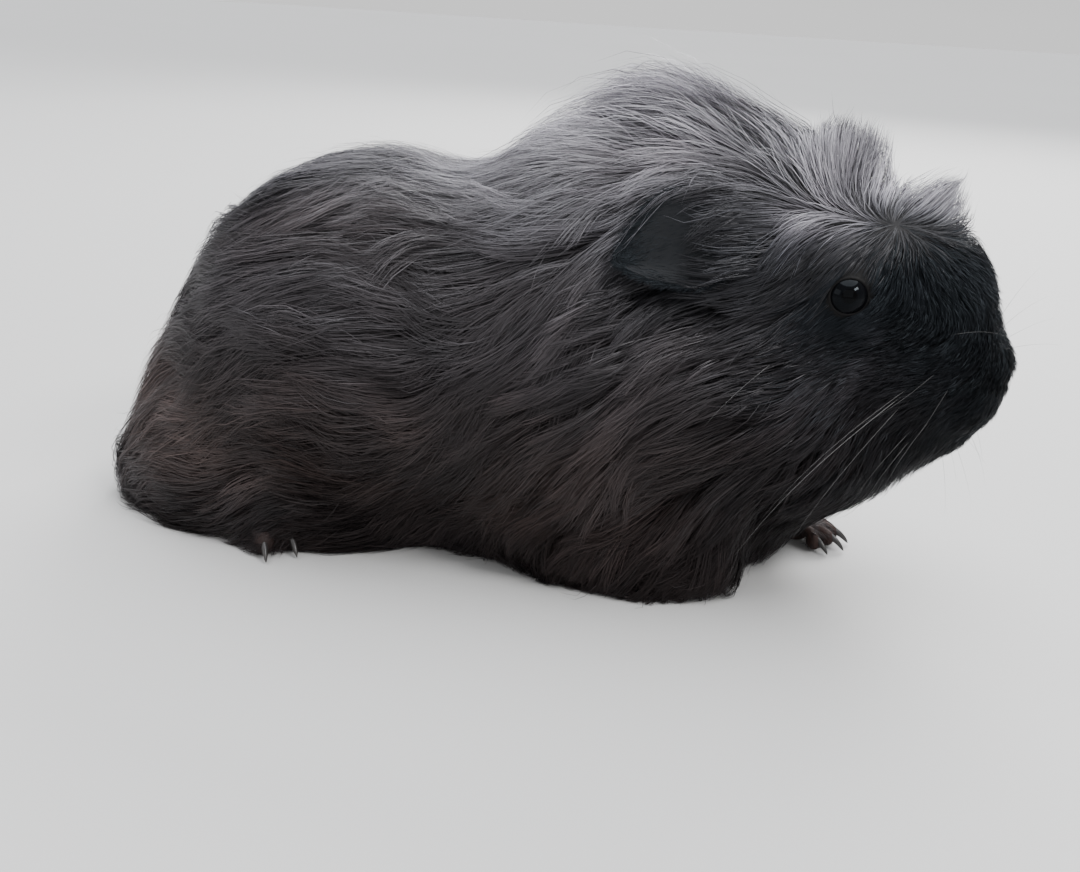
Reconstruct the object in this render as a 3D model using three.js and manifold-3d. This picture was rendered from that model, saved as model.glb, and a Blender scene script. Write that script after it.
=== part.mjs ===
// A life-size guinea pig standing on its soles, solid out to the tips of its long coat.
// Millimetres: +X to the nose, +Y to the animal's left, +Z up, floor at Z = 0.
import * as THREE from "three";
import { mergeVertices } from "three/addons/utils/BufferGeometryUtils.js";
import Module from "manifold-3d";

// ---- driving dimensions
const GAP = 0.3; // slit between neighbouring pieces
const HOLLOW = 1.5; // room round a foot where the coat closes over it
const COAT_CLEARANCE = 0.6; // the hanging coat ends this far above the floor
const HEAD_TURN = -6.8; // degrees about +Z: the head looks a little to its right
const NECK_PIVOT = [42, 0, 60];
const AROUND = 34; // facets round the body
const HEAD_STEP = 3.6, BODY_STEP = 8; // ring spacing along the spine
const NOSE_RINGS = 6, TAIL_RINGS = 6;

// The coat's form: smooth-blended masses {at, r, pitch (degrees, nose down), blend}; `pair` repeats a mass on both sides.
const BODY_MASSES = [
  { name: "rump", at: [-62.3, 0, 13.2], r: [49.4, 45.1, 49.6], pitch: 15.9, blend: 10 },
  { name: "thigh", at: [-68, 21.1, 4.4], r: [39.1, 16.6, 24.9], blend: 12, pair: true },
  { name: "trunk", at: [-38.7, 0, 45.7], r: [54.1, 50.3, 50.7], blend: 14 },
  { name: "skirt", at: [-5.3, 0, 12.2], r: [79.2, 28.8, 30.6], blend: 14 },
  { name: "shoulders", at: [14.4, 0, 44.4], r: [43.4, 46.4, 61.7], blend: 14 },
  { name: "elbow", at: [35.7, 22.5, 9.6], r: [26.8, 15.3, 31.6], blend: 12, pair: true },
  { name: "mane", at: [27.4, 0, 82.6], r: [28.5, 20.3, 39.3], pitch: 10.4, blend: 14 },
];
const HEAD_MASSES = [
  { name: "cranium", at: [49.6, 0, 66.7], r: [46.1, 29.2, 43.7], blend: 12 },
  { name: "cheek", at: [50.8, 17.9, 45.6], r: [28.1, 19.8, 19.9], blend: 14, pair: true },
  { name: "beard", at: [61.8, 0, 35.8], r: [35.4, 25.5, 22.6], blend: 12 },
  { name: "brow", at: [80.4, 0, 75.8], r: [29.1, 17.9, 20.8], pitch: 3.6, blend: 10 },
  { name: "snout", at: [92.6, 0, 58.5], r: [23.6, 15.9, 15.6], pitch: -3.9, blend: 9 },
  { name: "jaw", at: [91.5, 0, 47.8], r: [18.5, 11.5, 14], blend: 8 },
  { name: "crest", at: [72.8, 0, 104.6], r: [9.5, 11.6, 6.7], blend: 4 },
  { name: "forelock", at: [91.8, 0, 87.5], r: [8, 6.4, 14.6], pitch: 16.5, blend: 4 },
];
const HEAD_BLEND = 12;
const SPINE = [[-74, 0, 36], [-30, 0, 45], [10, 0, 54], [42, 0, 60], [70, -3.4, 61], [95.5, -6.5, 60]];

const EYE = { at: [79.3, -18.9, 76.2], radius: 5.2 }; // head frame, right side
const EAR = { root: [57, -26.5, 94.5], tip: [30.5, -41, 79.5], width: 27, thick: 1.7, lift: 2.2 }; // head frame, right side
const NOSE_PAD = { at: [116, 0, 60.5], r: [6.5, 8.6, 7.6] };
const NOSTRIL = { at: [112.6, -4.6, 61.2], r: [2.4, 1.1, 1.5] };

const HIND_FOOT = {
  heel: [-83, -24, 4.6], ball: [-58.5, -36.5, 5.2], heelRadius: 5.4, ballRadius: 6.2,
  toes: [[-53.2, -45.6, 3.9], [-48.8, -40.6, 4.2], [-45.6, -34.4, 4]], toeRadius: 3.1, spread: 13,
  claws: [[-50.3, -50.2, 0.7], [-44.6, -45, 0.7], [-40.6, -36.6, 0.7]], clawRadius: 1.15,
};
const FORE_PAW = { // the left paw's own frame: wrist at the origin, toes along +X
  wrist: [-7, 0, 11], palm: [2.5, 0, 4.4], wristRadius: 4.9, palmRadius: 5.6,
  toes: [[8.6, 5.6, 3.2], [11.4, 2.2, 3.5], [11.8, -1.8, 3.5], [9.2, -5.6, 3.2]], toeRadius: 2.25, spread: 11,
  claws: [[12.6, 7.4, 0.7], [16.2, 3, 0.7], [16.6, -2.4, 0.7], [13.4, -7.2, 0.7]], clawRadius: 0.85,
};
const FORE_PAW_PLACES = { l: { at: [70.5, 14.5], turn: -6 }, r: { at: [44, -19.5], turn: -16 } };

// ---- the coat's outline as one blended surface
const rad = THREE.MathUtils.degToRad;
const V = (a) => new THREE.Vector3(...a);
const headMatrix = new THREE.Matrix4()
  .makeTranslation(...NECK_PIVOT)
  .multiply(new THREE.Matrix4().makeRotationZ(rad(HEAD_TURN)))
  .multiply(new THREE.Matrix4().makeTranslation(...NECK_PIVOT.map((c) => -c)));
const headInverse = headMatrix.clone().invert();
const inHead = (a) => V(a).applyMatrix4(headMatrix);

function ellipsoid(p, m) {
  const s = Math.sin(rad(m.pitch || 0)), c = Math.cos(rad(m.pitch || 0));
  const x = p.x - m.at[0], y = (m.pair ? Math.abs(p.y) : p.y) - m.at[1], z = p.z - m.at[2];
  const u = c * x - s * z, w = s * x + c * z;
  const a = u / m.r[0], b = y / m.r[1], d = w / m.r[2];
  const k0 = Math.hypot(a, b, d), k1 = Math.hypot(a / m.r[0], b / m.r[1], d / m.r[2]);
  return (k0 * (k0 - 1)) / Math.max(k1, 1e-9);
}
function blend(a, b, k) {
  const h = Math.max(k - Math.abs(a - b), 0) / k;
  return Math.min(a, b) - h * h * k * 0.25;
}
const union = (masses, p) =>
  masses.reduce((d, m) => (d === null ? ellipsoid(p, m) : blend(d, ellipsoid(p, m), m.blend)), null);
function coat(p) {
  return blend(union(BODY_MASSES, p), union(HEAD_MASSES, p.clone().applyMatrix4(headInverse)), HEAD_BLEND);
}
// Distance from `from` along the unit vector `dir` to the outermost crossing of `field`.
function reach(field, from, dir, far) {
  let out = far;
  while (out > 0 && field(from.clone().addScaledVector(dir, out)) > 0) out -= 1;
  let lo = out, hi = out + 1;
  for (let i = 0; i < 24; i++) {
    const mid = (lo + hi) / 2;
    if (field(from.clone().addScaledVector(dir, mid)) > 0) hi = mid; else lo = mid;
  }
  return (lo + hi) / 2;
}

// ---- solids
const wasm = await Module();
wasm.setup();
function solid(geometry) {
  const g = new THREE.BufferGeometry().setAttribute("position", geometry.getAttribute("position").clone());
  if (geometry.index) g.setIndex(geometry.index.clone());
  const merged = mergeVertices(g, 1e-4);
  const index = [];
  const old = merged.index.array;
  for (let i = 0; i < old.length; i += 3)
    if (old[i] !== old[i + 1] && old[i + 1] !== old[i + 2] && old[i] !== old[i + 2]) index.push(old[i], old[i + 1], old[i + 2]);
  return new wasm.Manifold(
    new wasm.Mesh({ numProp: 3, vertProperties: new Float32Array(merged.attributes.position.array), triVerts: new Uint32Array(index) }),
  );
}
const placed = (geometry, ...steps) => {
  for (const m of steps) geometry.applyMatrix4(m);
  return solid(geometry);
};
const move = (a) => new THREE.Matrix4().makeTranslation(...a);
const aim = (from, to) =>
  new THREE.Matrix4().makeRotationFromQuaternion(new THREE.Quaternion().setFromUnitVectors(from, to.clone().normalize()));
const ball = (at, r, turn = new THREE.Matrix4(), detail = 20) =>
  placed(new THREE.SphereGeometry(1, detail, Math.round(detail * 0.6)), new THREE.Matrix4().makeScale(...r), turn, move(at));
// A capsule tapering from radius ra at a to rb at b.
function limb(a, b, ra, rb, sides = 8, caps = 2) {
  const A = V(a), B = V(b), d = B.clone().sub(A), len = d.length();
  const g = new THREE.CapsuleGeometry(1, len, caps, sides, 1); // along +Y, centred
  const p = g.getAttribute("position");
  for (let i = 0; i < p.count; i++) {
    const y = p.getY(i), top = y > 0, r = top ? rb : ra;
    p.setXYZ(i, p.getX(i) * r, (top ? y - len / 2 : y + len / 2) * r + (top ? len : 0), p.getZ(i) * r);
  }
  return placed(g, aim(V([0, 1, 0]), d), move(a));
}
// Everything on the side of a plane that its normal points to.
function halfSpace(point, normal, shift = 0) {
  const size = 400;
  return placed(
    new THREE.BoxGeometry(size, size, size),
    move([0, 0, size / 2 + shift]),
    aim(V([0, 0, 1]), V(normal)),
    move(point),
  );
}
// Parts a solid along a plane and takes the slit out of the middle.
const part = (body, point, normal) => [
  body.intersect(halfSpace(point, normal, GAP / 2)),
  body.intersect(halfSpace(point, normal.map((c) => -c), GAP / 2)),
];

// The body skinned ring by ring along the spine.
function bodySolid() {
  const spine = new THREE.CatmullRomCurve3(SPINE.map(V));
  const length = spine.getLength();
  const stations = [];
  for (let i = 0; i <= NOSE_RINGS; i++) stations.push([1, (i / NOSE_RINGS) * 90]);
  for (let s = length; s > 0; ) {
    s -= spine.getPointAt(Math.max(s, 0) / length).x > 58 ? HEAD_STEP : BODY_STEP;
    if (s > BODY_STEP * 0.4) stations.push([s / length, 90]);
  }
  for (let i = 0; i <= TAIL_RINGS; i++) stations.push([0, 90 + (i / TAIL_RINGS) * 90]);
  const rings = stations.length - 1;
  const g = new THREE.SphereGeometry(1, AROUND, rings);
  const p = g.getAttribute("position"), uv = g.getAttribute("uv");
  for (let i = 0; i < p.count; i++) {
    const ring = Math.floor(i / (AROUND + 1));
    const [t, tilt] = stations[ring];
    const turn = ((i % (AROUND + 1)) % AROUND) * ((2 * Math.PI) / AROUND);
    const from = spine.getPointAt(t), along = spine.getTangentAt(t);
    const side = new THREE.Vector3(0, 0, 1).cross(along).normalize(), up = along.clone().cross(side);
    const dir = along.clone().multiplyScalar(Math.cos(rad(tilt)))
      .addScaledVector(up, Math.sin(rad(tilt)) * Math.cos(turn))
      .addScaledVector(side, -Math.sin(rad(tilt)) * Math.sin(turn));
    const at = from.addScaledVector(dir, reach(coat, from, dir, 110));
    p.setXYZ(i, at.x, at.y, at.z);
  }
  return solid(g).intersect(halfSpace([0, 0, COAT_CLEARANCE], [0, 0, 1]));
}

// An ear: a thin drooping petal lying on the coat, its rim rolled, its root sunk in the head.
function earSolid(sign, grow) {
  const field = (p) => coat(p.clone().setY(-sign * p.y).applyMatrix4(headMatrix)); // the coat under this side's ear, seen as if on the right
  const root = V(EAR.root), tip = V(EAR.tip);
  const middle = root.clone().lerp(tip, 0.5), e = 0.5;
  const normal = new THREE.Vector3(
    field(middle.clone().setX(middle.x + e)) - field(middle.clone().setX(middle.x - e)),
    field(middle.clone().setY(middle.y + e)) - field(middle.clone().setY(middle.y - e)),
    field(middle.clone().setZ(middle.z + e)) - field(middle.clone().setZ(middle.z - e)),
  ).normalize();
  const along = tip.clone().sub(root), length = along.length();
  along.normalize();
  normal.addScaledVector(along, -normal.dot(along)).normalize();
  const across = along.clone().cross(normal); // towards the lower rim
  const g = new THREE.SphereGeometry(1, 18, 8);
  const p = g.getAttribute("position");
  for (let i = 0; i < p.count; i++) {
    // unit sphere: (x, z) span the petal, y its thickness
    const x = p.getX(i), y = p.getY(i), z = p.getZ(i);
    const r = Math.hypot(x, z), flat = Math.pow(r, 0.8) / Math.max(r, 1e-6);
    const u = x * flat, w = z * flat;
    const s = 0.5 + 0.5 * u; // 0 at the root, 1 at the tip
    const breadth = (EAR.width / 2 + grow) * (0.62 + 0.5 * Math.sin(Math.PI * Math.pow(s, 0.9)) * 0.78);
    const at = root.clone().addScaledVector(along, s * (length + 2 * grow) - grow).addScaledVector(across, w * breadth - 1.5 * (1 - s));
    at.addScaledVector(normal, -14);
    const h = reach(field, at, normal, 40);
    const lift = -1.1 + EAR.lift * Math.pow(s, 0.7) + 1.6 * w * w * s;
    at.addScaledVector(normal, h + lift + y * (EAR.thick / 2 + grow));
    p.setXYZ(i, at.x, at.y, at.z);
  }
  if (sign > 0) {
    for (let i = 0; i < p.count; i++) p.setY(i, -p.getY(i));
    const k = g.index.array;
    for (let i = 0; i < k.length; i += 3) [k[i + 1], k[i + 2]] = [k[i + 2], k[i + 1]];
  }
  g.applyMatrix4(headMatrix);
  const made = solid(g);
  return made;
}

function claw(base, tip, radius, grow) {
  const A = V(base), B = V(tip), d = B.clone().sub(A), len = d.length() + 2.2 + grow;
  const g = new THREE.ConeGeometry(radius + grow, len, 6, 3);
  g.translate(0, len / 2 - 2.2, 0);
  const p = g.getAttribute("position");
  for (let i = 0; i < p.count; i++) p.setZ(i, p.getZ(i) + 0.9 * Math.sin((Math.PI * (p.getY(i) + 2.2)) / len)); // gentle upward arch
  const y = d.clone().normalize(), x = y.clone().cross(new THREE.Vector3(0, 0, 1)).normalize(), z = x.clone().cross(y);
  return placed(g, new THREE.Matrix4().makeBasis(x, y, z.negate().negate()), move(base));
}
const above = (s, z) => s.intersect(halfSpace([0, 0, z], [0, 0, 1]));
// A foot from its dimension table; `map` takes the table's frame to the body's.
function footSolid(t, map, grow) {
  const heel = t.heel || t.wrist, ballAt = t.ball || t.palm, rh = t.heelRadius || t.wristRadius, rb = t.ballRadius || t.palmRadius;
  let s = limb(map(heel), map(ballAt), rh + grow, rb + grow, 8);
  for (const toe of t.toes) s = s.add(limb(map(ballAt), map(toe), rb * 0.72 + grow, t.toeRadius + grow, 6, grow ? 1 : 2));
  return s;
}
// The hollow in the coat that a foot stands in: round its sole, and wide enough for the spread toes and claws.
function footHollow(t, map) {
  const heel = t.heel || t.wrist, ballAt = t.ball || t.palm, rh = t.heelRadius || t.wristRadius, rb = t.ballRadius || t.palmRadius;
  const toes = t.toes.reduce((a, b) => a.map((c, i) => c + b[i] / t.toes.length), [0, 0, 0]);
  return limb(map(heel), map(ballAt), rh + HOLLOW, rb + HOLLOW, 8).add(ball(map(toes), [t.spread, t.spread, t.spread * 0.58], undefined, 12));
}
const clawSolids = (t, map, grow) => t.toes.map((toe, i) => claw(map(toe), map(t.claws[i]), t.clawRadius, grow));

// ---- build
const nodes = new Map();
let body = bodySolid();

const sides = { r: -1, l: 1 };
for (const [side, sign] of Object.entries(sides)) {
  const mirror = (a) => [a[0], a[1] * -sign, a[2]];
  const hind = (a) => mirror(a);
  const place = FORE_PAW_PLACES[side];
  const fore = (a) => {
    const c = Math.cos(rad(place.turn)), s = Math.sin(rad(place.turn));
    return [place.at[0] + c * a[0] - s * a[1], place.at[1] + s * a[0] + c * a[1], a[2]];
  };
  for (const [name, table, map] of [["hind_foot", HIND_FOOT, hind], ["fore_paw", FORE_PAW, fore]]) {
    let foot = above(footSolid(table, map, 0), 0);
    body = body.subtract(footHollow(table, map));
    clawSolids(table, map, 0).forEach((c, i) => nodes.set(name + "_claw_" + side + (i + 1), above(c, 0.35)));
    for (const c of clawSolids(table, map, GAP)) {
      foot = foot.subtract(c);
      body = body.subtract(c);
    }
    nodes.set(name + "_" + side, foot);
  }
  // eye
  const eyeAt = inHead([EYE.at[0], EYE.at[1] * -sign, EYE.at[2]]).toArray();
  nodes.set("eye_" + side, ball(eyeAt, Array(3).fill(EYE.radius), undefined, 14));
  body = body.subtract(ball(eyeAt, Array(3).fill(EYE.radius + GAP), undefined, 12));
  // ear
  nodes.set("ear_" + side, earSolid(sign, 0));
  body = body.subtract(earSolid(sign, GAP));
  // nostril
  const n = [NOSTRIL.at[0], NOSTRIL.at[1] * -sign, NOSTRIL.at[2]];
  body = body.subtract(ball(inHead(n).toArray(), NOSTRIL.r, new THREE.Matrix4().makeRotationZ(rad(HEAD_TURN + 35 * sign)), 8));
}

// thighs and forearms, lens-shaped pieces let into the flanks
const LENSES = {
  thigh: { at: [-58, 44, 27], r: [30, 24, 29] },
  foreleg: { at: [30, 43, 20], r: [21, 22, 25] },
};
for (const [name, m] of Object.entries(LENSES))
  for (const [side, sign] of Object.entries(sides)) {
    const at = [m.at[0], m.at[1] * sign, m.at[2]];
    nodes.set(name + "_" + side, body.intersect(ball(at, m.r, undefined, 14)));
    body = body.subtract(ball(at, m.r.map((c) => c + GAP), undefined, 14));
  }

const headNormal = (a) => V(a).applyMatrix4(new THREE.Matrix4().makeRotationZ(rad(HEAD_TURN))).toArray();
const cuts = [
  ["rump", [-66, 0, 0], [-1, 0, 0.12]],
  ["trunk", [-6, 0, 0], [-1, 0, 0]],
  ["chest", [10, 0, 72], [-0.63, 0, -0.78]],
  ["neck", inHead([47, 0, 66]).toArray(), headNormal([-0.93, 0, -0.37])],
];
for (const [name, at, normal] of cuts) {
  const [piece, rest] = part(body, at, normal);
  nodes.set(name, piece);
  body = rest;
}
// the head: the snout in front of the eyes, parted along the mouth, and the nose pad
const [snout, skull] = part(body, inHead([91, 0, 60]).toArray(), headNormal([0.96, 0, -0.28]));
const [jaw, upper] = part(snout, inHead([112, 0, 49.5]).toArray(), headNormal([0.16, 0, -1]));
const noseAt = inHead(NOSE_PAD.at).toArray();
nodes.set("head", skull);
nodes.set("lower_jaw", jaw);
nodes.set("nose", upper.intersect(ball(noseAt, NOSE_PAD.r, undefined, 14)));
nodes.set("muzzle", upper.subtract(ball(noseAt, NOSE_PAD.r.map((c) => c + GAP), undefined, 14)));

// ---- export
const LOOKS = {
  coat: { color: 0x1b1a1f, roughness: 0.7, metalness: 0 },
  bare: { color: 0x2a2326, roughness: 0.6, metalness: 0 },
  eye: { color: 0x050406, roughness: 0.08, metalness: 0 },
  claw: { color: 0x3a3431, roughness: 0.45, metalness: 0 },
};
const lookOf = (name) =>
  name.includes("claw") ? "claw" : name.startsWith("eye") ? "eye" : /^(ear|nose|fore_paw|hind_foot)/.test(name) ? "bare" : "coat";
const group = new THREE.Group();
group.name = "guinea_pig";
const bounds = new THREE.Box3();
const meshes = [];
for (const [name, s] of nodes) {
  const bodies = s.decompose().sort((a, b) => b.volume() - a.volume());
  if (bodies.length > 1 && bodies[1].volume() > 1) console.log(name, "loses", bodies.slice(1).map((b) => b.volume().toFixed(1)).join(" "));
  const m = bodies[0].getMesh();
  const g = new THREE.BufferGeometry()
    .setAttribute("position", new THREE.BufferAttribute(new Float32Array(m.vertProperties), 3))
    .setIndex(new THREE.BufferAttribute(new Uint32Array(m.triVerts), 1));
  g.computeVertexNormals();
  const mesh = new THREE.Mesh(g, new THREE.MeshStandardMaterial(LOOKS[lookOf(name)]));
  mesh.name = name;
  g.computeBoundingBox();
  bounds.union(g.boundingBox);
  meshes.push(mesh);
}
// the frame's origin: middle of the bounding box, on the floor
const middle = bounds.getCenter(new THREE.Vector3());
for (const mesh of meshes) {
  mesh.geometry.translate(-middle.x, -middle.y, 0);
  group.add(mesh);
}
export default group;
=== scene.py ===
import math

import bmesh
import bpy
import numpy as np
from mathutils import Matrix, Vector
from mathutils.kdtree import KDTree


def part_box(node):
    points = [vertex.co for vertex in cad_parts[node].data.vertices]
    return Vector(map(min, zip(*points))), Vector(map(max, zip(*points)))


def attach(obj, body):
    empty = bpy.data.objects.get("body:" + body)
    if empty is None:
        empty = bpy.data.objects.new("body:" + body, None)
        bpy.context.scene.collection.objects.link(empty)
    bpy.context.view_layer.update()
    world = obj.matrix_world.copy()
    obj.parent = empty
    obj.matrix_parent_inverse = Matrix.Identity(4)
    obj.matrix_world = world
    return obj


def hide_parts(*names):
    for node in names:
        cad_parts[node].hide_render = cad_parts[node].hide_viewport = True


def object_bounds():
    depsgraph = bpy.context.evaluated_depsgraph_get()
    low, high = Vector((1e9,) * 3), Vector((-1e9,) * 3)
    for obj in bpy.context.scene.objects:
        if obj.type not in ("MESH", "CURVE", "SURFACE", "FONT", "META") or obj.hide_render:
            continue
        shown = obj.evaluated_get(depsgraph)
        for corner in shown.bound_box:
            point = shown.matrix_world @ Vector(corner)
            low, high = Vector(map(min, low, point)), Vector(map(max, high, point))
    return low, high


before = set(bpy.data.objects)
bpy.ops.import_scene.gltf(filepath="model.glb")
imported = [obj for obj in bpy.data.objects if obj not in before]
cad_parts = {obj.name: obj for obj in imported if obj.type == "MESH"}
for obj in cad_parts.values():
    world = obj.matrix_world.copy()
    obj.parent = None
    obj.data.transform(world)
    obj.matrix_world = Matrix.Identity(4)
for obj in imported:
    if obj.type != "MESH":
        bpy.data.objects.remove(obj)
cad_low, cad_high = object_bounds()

# A long-haired guinea pig with rosettes, life size and still.
# Shapes are worked out in millimetres in the body frame: head along +X, left side along +Y, floor at z = 0.
# The head has a frame of its own, turned about the neck.

rng = np.random.default_rng(20261)

HEAD_TURN = math.radians(-6.8)
NECK_PIVOT = np.array([42.0, 0.0, 60.0])
EYE_AT = np.array([79.3, -18.9, 76.2])
EYE_R = 5.2
EYE_AXIS = np.array([0.22, -0.95, 0.20])
EYE_AXIS = EYE_AXIS / np.linalg.norm(EYE_AXIS)
FLOOR_GAP = 0.45


def turned(p, angle):
    c, s = math.cos(angle), math.sin(angle)
    p = np.asarray(p, float)
    return np.stack([c * p[..., 0] - s * p[..., 1], s * p[..., 0] + c * p[..., 1], p[..., 2]], -1)


def from_head(p):
    return turned(np.asarray(p, float) - NECK_PIVOT, HEAD_TURN) + NECK_PIVOT


def to_head(p):
    return turned(np.asarray(p, float) - NECK_PIVOT, -HEAD_TURN) + NECK_PIVOT


def dir_from_head(d):
    return turned(d, HEAD_TURN)


def unit(v):
    v = np.asarray(v, float)
    return v / np.maximum(np.linalg.norm(v, axis=-1, keepdims=True), 1e-9)


# The eye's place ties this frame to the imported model.
_lo, _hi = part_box("eye_r")
_eye = from_head(EYE_AT)
SHIFT = np.array([(_lo[i] + _hi[i]) * 500.0 for i in range(3)]) - _eye
SHIFT[2] = 0.0


def metres(p):
    return (np.asarray(p, float) + SHIFT) / 1000.0


# ------------------------------------------------------------------ fields


def ball(p, at, r, pitch=0.0):
    """Distance, nearly, to an ellipsoid whose long axis is tipped by pitch degrees about Y."""
    x, y, z = p[..., 0] - at[0], p[..., 1] - at[1], p[..., 2] - at[2]
    if pitch:
        c, s = math.cos(math.radians(pitch)), math.sin(math.radians(pitch))
        x, z = c * x - s * z, s * x + c * z
    k0 = np.sqrt((x / r[0]) ** 2 + (y / r[1]) ** 2 + (z / r[2]) ** 2)
    k1 = np.sqrt((x / r[0] ** 2) ** 2 + (y / r[1] ** 2) ** 2 + (z / r[2] ** 2) ** 2)
    return k0 * (k0 - 1.0) / np.maximum(k1, 1e-9)


def rod(p, a, b, ra, rb):
    a, b = np.asarray(a, float), np.asarray(b, float)
    ab = b - a
    t = np.clip(((p - a) @ ab) / (ab @ ab), 0, 1)
    return np.linalg.norm(p - a - t[..., None] * ab, axis=-1) - (ra + (rb - ra) * t)


def join(a, b, k):
    h = np.maximum(k - np.abs(a - b), 0) / k
    return np.minimum(a, b) - h * h * k * 0.25


def meet(a, b, k):
    return -join(-a, -b, k)


BODY = [  # place, half sizes, pitch, blend, on both sides
    ([-62.3, 0, 13.2], [49.4, 45.1, 49.6], 15.9, 10, 0),
    ([-68, 21.1, 4.4], [39.1, 16.6, 24.9], 0, 12, 1),
    ([-38.7, 0, 45.7], [54.1, 50.3, 50.7], 0, 14, 0),
    ([-5.3, 0, 12.2], [79.2, 28.8, 30.6], 0, 14, 0),
    ([14.4, 0, 44.4], [43.4, 46.4, 61.7], 0, 14, 0),
    ([35.7, 22.5, 9.6], [26.8, 15.3, 31.6], 0, 12, 1),
]
MANE = ([27.4, 0, 82.6], [28.5, 20.3, 39.3], 10.4, 14, 0)
HEAD = [
    ([49.6, 0, 66.7], [46.1, 29.2, 43.7], 0, 12, 0),
    ([50.8, 17.9, 45.6], [28.1, 19.8, 19.9], 0, 14, 1),
    ([61.8, 0, 35.8], [35.4, 25.5, 22.6], 0, 12, 0),
    ([80.4, 0, 75.8], [29.1, 17.9, 20.8], 3.6, 10, 0),
    ([92.6, 0, 58.5], [23.6, 15.9, 15.6], -3.9, 9, 0),
    ([91.5, 0, 47.8], [18.5, 11.5, 14], 0, 8, 0),
]
CREST = ([72.8, 0, 104.6], [9.5, 11.6, 6.7], 0, 4, 0)
FORELOCK = ([91.8, 0, 87.5], [8, 6.4, 14.6], 16.5, 4, 0)


def union(p, masses):
    d = None
    for at, r, pitch, k, pair in masses:
        e = ball(p, at, r, pitch)
        if pair:
            e = np.minimum(e, ball(p, [at[0], -at[1], at[2]], r, pitch))
        d = e if d is None else join(d, e, k)
    return d


def coat(p):
    """The outside of the coat."""
    return join(union(p, BODY + [MANE]), union(to_head(p), HEAD + [CREST, FORELOCK]), 12)


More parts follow.
